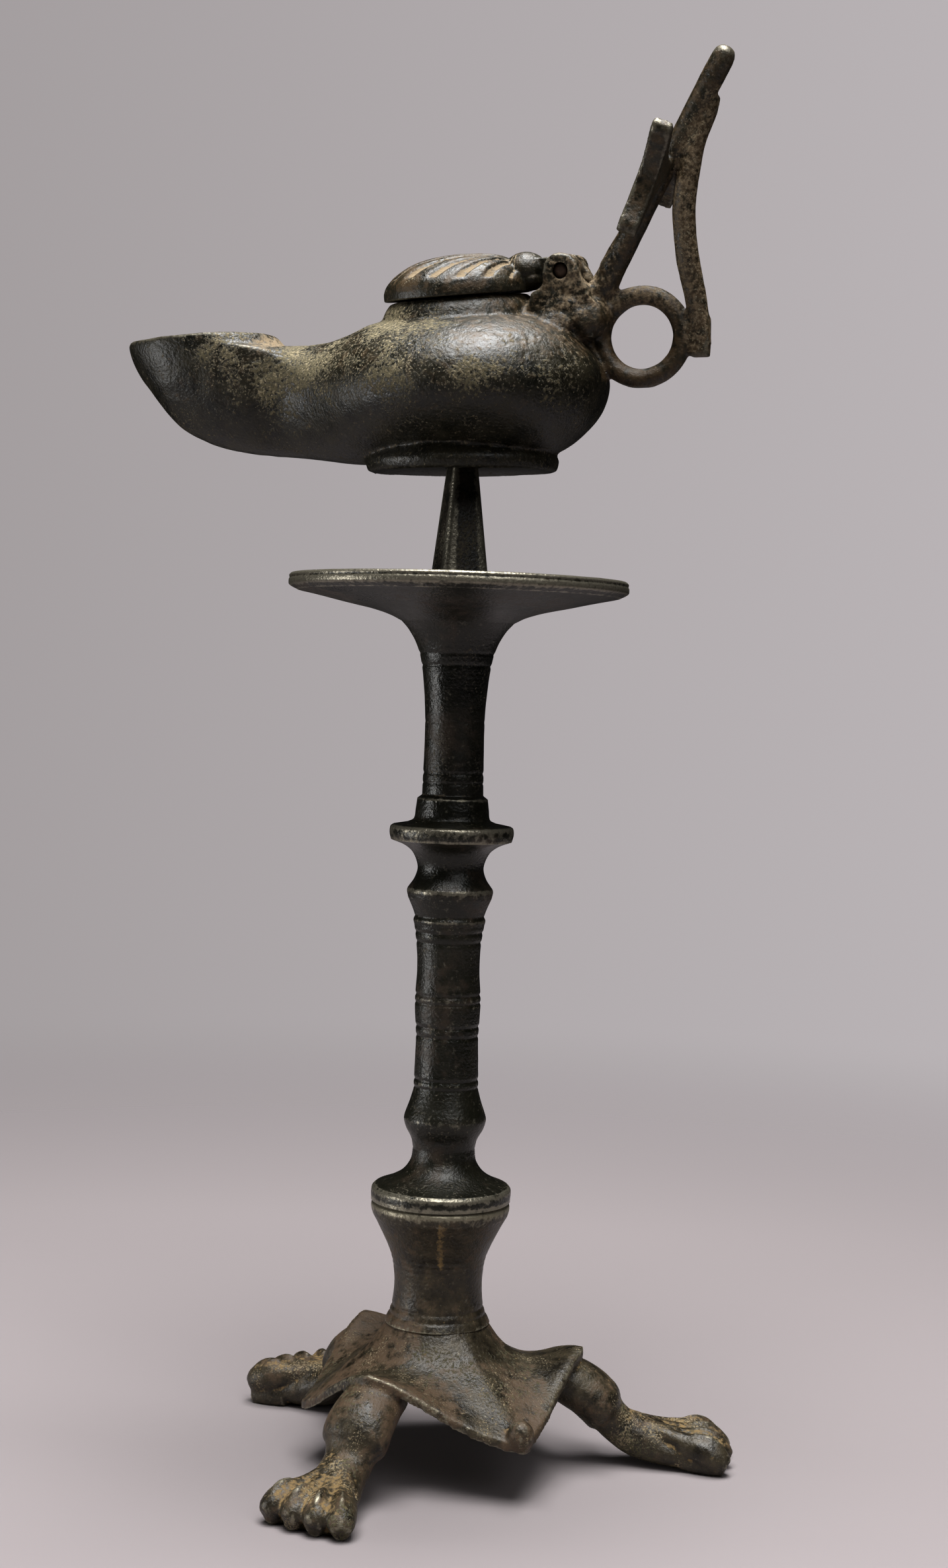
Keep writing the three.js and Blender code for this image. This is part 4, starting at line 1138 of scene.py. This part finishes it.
def lid_shell():
    angles = 2 * np.pi * np.arange(LID_COLUMNS) / LID_COLUMNS

    def ring(share, height):
        x = UMBO_X + (LID_RADIUS * np.cos(angles) - UMBO_X) * share
        y = LID_RADIUS * np.sin(angles) * share
        return np.column_stack([x, y, LID_GAP + height(x, y)])

    def top(x, y):
        return np.maximum(lid_height(x, y) - RIB_DEPTH * rib_grooves(x, y), 0.8)

    def under(x, y):
        return np.maximum(lid_height(x, y) - LID_WALL, 0)

    def flat(x, y):
        return 0 * x

    rings = [ring(share, top) for share in np.linspace(0.1, 1, 80)]
    rings += [ring(1, flat), ring(0.95, flat), ring(0.9, flat)]
    rings += [ring(share, under) for share in np.linspace(0.86, 0.4, 20)]
    return loft(rings)


def lid_piece():
    tongue_top = PIN_Z + TONGUE_RADIUS
    outline = [*round_end(TONGUE_RADIUS, -110, 90), (23, tongue_top), (21, 3.4), (27, 2.2)]
    tongue = hinge_plate(outline, -TONGUE_HALF, TONGUE_HALF)
    umbo = [ball(UMBO_CENTRE, UMBO_RADII, 22), ball(BEAK_CENTRE, BEAK_RADII, 22)]
    obj = fuse("bronze_shell_lid", LID_GRAIN, lid_shell(), *umbo, tongue)
    soften(obj, 2)
    points = points_of(obj)
    swell(obj, 0.1 * noise(points, 5, 31) + 0.05 * noise(points, 1.8, 32))
    points = points_of(obj)
    points[:, 2] = np.maximum(points[:, 2], LID_GAP)
    put_points(obj, points)
    height = proud(obj, 30)
    outside = ramp(normals_of(obj)[:, 2], -0.2, 0.2)
    grooves = rib_grooves(points[:, 0], points[:, 1]) + 0.35 * noise(points, 2.5, 34)
    stripes = ramp(grooves, 0.25, 1) * outside
    coats = np.column_stack([
        # convex edges get the lighter edge coat: wear and painted edge highlights
        0.7 * ramp(height, 0.16, 0.4),
        np.maximum(stripes, 0.4 * ramp(-height, 0.08, 0.3) * outside),
        0.3 * ramp(noise(points, 6, 33), -0.2, 0.7),
        0.3 * ramp(noise(points, 5, 35), 0, 0.7) * outside,
        (0.4 + 0.35 * ramp(noise(points, 9, 36), -0.5, 0.6)) * outside,
    ])
    combine(obj, "DIFFERENCE", pin_bore())
    carry_coats(obj, points, coats, 0.6)
    finished(obj, LAMP_FRAME @ COLLAR_FRAME, "lid", "shell_lid", LAMP_BRONZE)


def pin_piece():
    half = EAR_OUTER - 1
    keys = [(0.3, half), (1.3, half - 0.05), (1.9, half - 0.3), (PIN_RADIUS, half - 0.8)]
    keys += [(PIN_RADIUS, 0.8 - half), (1.9, 0.3 - half), (1.3, 0.05 - half), (0.3, -half)]
    turned = lathe(drawn((keys, 0.4)), 32)
    obj = made("iron_hinge_pin", placed(turned, shift(PIN_X, 0, PIN_Z) @ turn("X", 90)))
    points = points_of(obj)
    swell(obj, -0.05 * ramp(noise(points, 1.2, 41), -0.2, 0.8))
    finished(obj, LAMP_FRAME @ COLLAR_FRAME, "stand_and_lamp", "hinge_pin", PIN_IRON)


shaft_piece()
tripod_piece()
lamp_piece()
lid_piece()
pin_piece()


# Studio: pale floor that fades into a grey backdrop with painted light falloff, soft lights and the
# photograph's viewpoint

FLOOR_RADIUS = 0.95
FLOOR_FADE = 0.25
FLOOR_SIDES = 96


def studio_floor():
    angles = 2 * np.pi * np.arange(FLOOR_SIDES) / FLOOR_SIDES
    rim = FLOOR_RADIUS * np.column_stack([np.cos(angles), np.sin(angles), 0 * angles])
    floor = made("floor", (rim, np.arange(FLOOR_SIDES)[None]))
    material, tree, where = surface("pale_paper_floor")
    length = add(tree, "VectorMath", {0: where}, operation="LENGTH").outputs["Value"]
    inputs = {"Value": length, "From Min": FLOOR_FADE, "From Max": FLOOR_RADIUS}
    share = add(tree, "MapRange", inputs, interpolation_type="SMOOTHSTEP").outputs[0]
    paper = add(tree, "BsdfPrincipled", {"Base Color": linear("#928b8c"), "Roughness": 0.9})
    away = add(tree, "BsdfTransparent")
    mixed = add(tree, "MixShader", {0: share, 1: paper.outputs[0], 2: away.outputs[0]})
    add(tree, "OutputMaterial", {"Surface": mixed.outputs[0]})
    floor.data.materials.append(material)


def studio_light(name, place, target, size, watts):
    data = bpy.data.lights.new(name, "AREA")
    data.shape = "RECTANGLE"
    data.size, data.size_y = size
    data.energy = watts
    light = linked(name, data)
    light.location = place
    light.rotation_euler = (Vector(target) - Vector(place)).to_track_quat("-Z", "Y").to_euler()


def studio_world():
    world = bpy.data.worlds.new("studio")
    bpy.context.scene.world = world
    world.use_nodes = True
    tree = world.node_tree
    tree.nodes.clear()
    # the backdrop seen by the camera is painted lighter to the right: painted light falloff
    toward = add(tree, "TexCoord").outputs["Generated"]
    side = add(tree, "SeparateXYZ", {0: toward}).outputs["X"]
    share = add(tree, "MapRange", {"Value": side, "From Min": -0.25, "From Max": 0.25}).outputs[0]
    inputs = {0: share, 6: linear("#a29d9e"), 7: linear("#b8b3b5")}
    backdrop_painted_falloff = add(tree, "Mix", inputs, data_type="RGBA").outputs[2]
    seen = add(tree, "Background", {"Color": backdrop_painted_falloff, "Strength": 1.0}).outputs[0]
    ambient = add(tree, "Background", {"Color": linear("#8d8b8e"), "Strength": 0.06}).outputs[0]
    camera_ray = add(tree, "LightPath").outputs["Is Camera Ray"]
    mixed = add(tree, "MixShader", {0: camera_ray, 1: ambient, 2: seen}).outputs[0]
    add(tree, "OutputWorld", {"Surface": mixed})


IMAGE_HEIGHT = 2373
FOCAL_PIXELS = 3500
SENSOR = 36
CAMERA_DISTANCE = 0.7
CAMERA_HEIGHT = 0.2365
CAMERA_PITCH = math.radians(2.39)
CAMERA_YAW = math.radians(0.52)
CAMERA_ROLL = math.radians(1.75)


def photograph_camera():
    data = bpy.data.cameras.new("camera")
    data.sensor_width = SENSOR
    data.lens = FOCAL_PIXELS / IMAGE_HEIGHT * SENSOR
    data.clip_start = 0.01
    camera = linked("camera", data)
    level = math.cos(CAMERA_PITCH)
    forward = Vector((math.sin(CAMERA_YAW) * level, math.cos(CAMERA_YAW) * level, -math.sin(CAMERA_PITCH)))
    right = Vector((math.cos(CAMERA_YAW), -math.sin(CAMERA_YAW), 0))
    up = right.cross(forward)
    tilted_up = up * math.cos(CAMERA_ROLL) - right * math.sin(CAMERA_ROLL)
    tilted_right = right * math.cos(CAMERA_ROLL) + up * math.sin(CAMERA_ROLL)
    turned = Matrix((tilted_right, tilted_up, -forward)).transposed().to_4x4()
    place = Vector(AXIS * METRES) + Vector((0, -CAMERA_DISTANCE, CAMERA_HEIGHT))
    camera.matrix_world = Matrix.Translation(place) @ turned
    bpy.context.scene.camera = camera


studio_floor()
studio_light("key", (0, -0.3, 1.35), (0, -0.05, 0.2), (0.9, 0.9), 30)
studio_light("top", (0.08, 0.2, 1.4), (0, 0, 0.3), (0.45, 0.45), 9)
studio_light("front", (0.55, -1, 1), (0, 0, 0.2), (0.8, 0.6), 3)
studio_light("left_fill", (-1.25, -0.2, 0.1), (0, 0, 0.12), (0.3, 0.5), 6)
studio_world()
photograph_camera()
view = bpy.context.scene.view_settings
view.view_transform = "Standard"
view.exposure = 0.2
view.gamma = 0.85
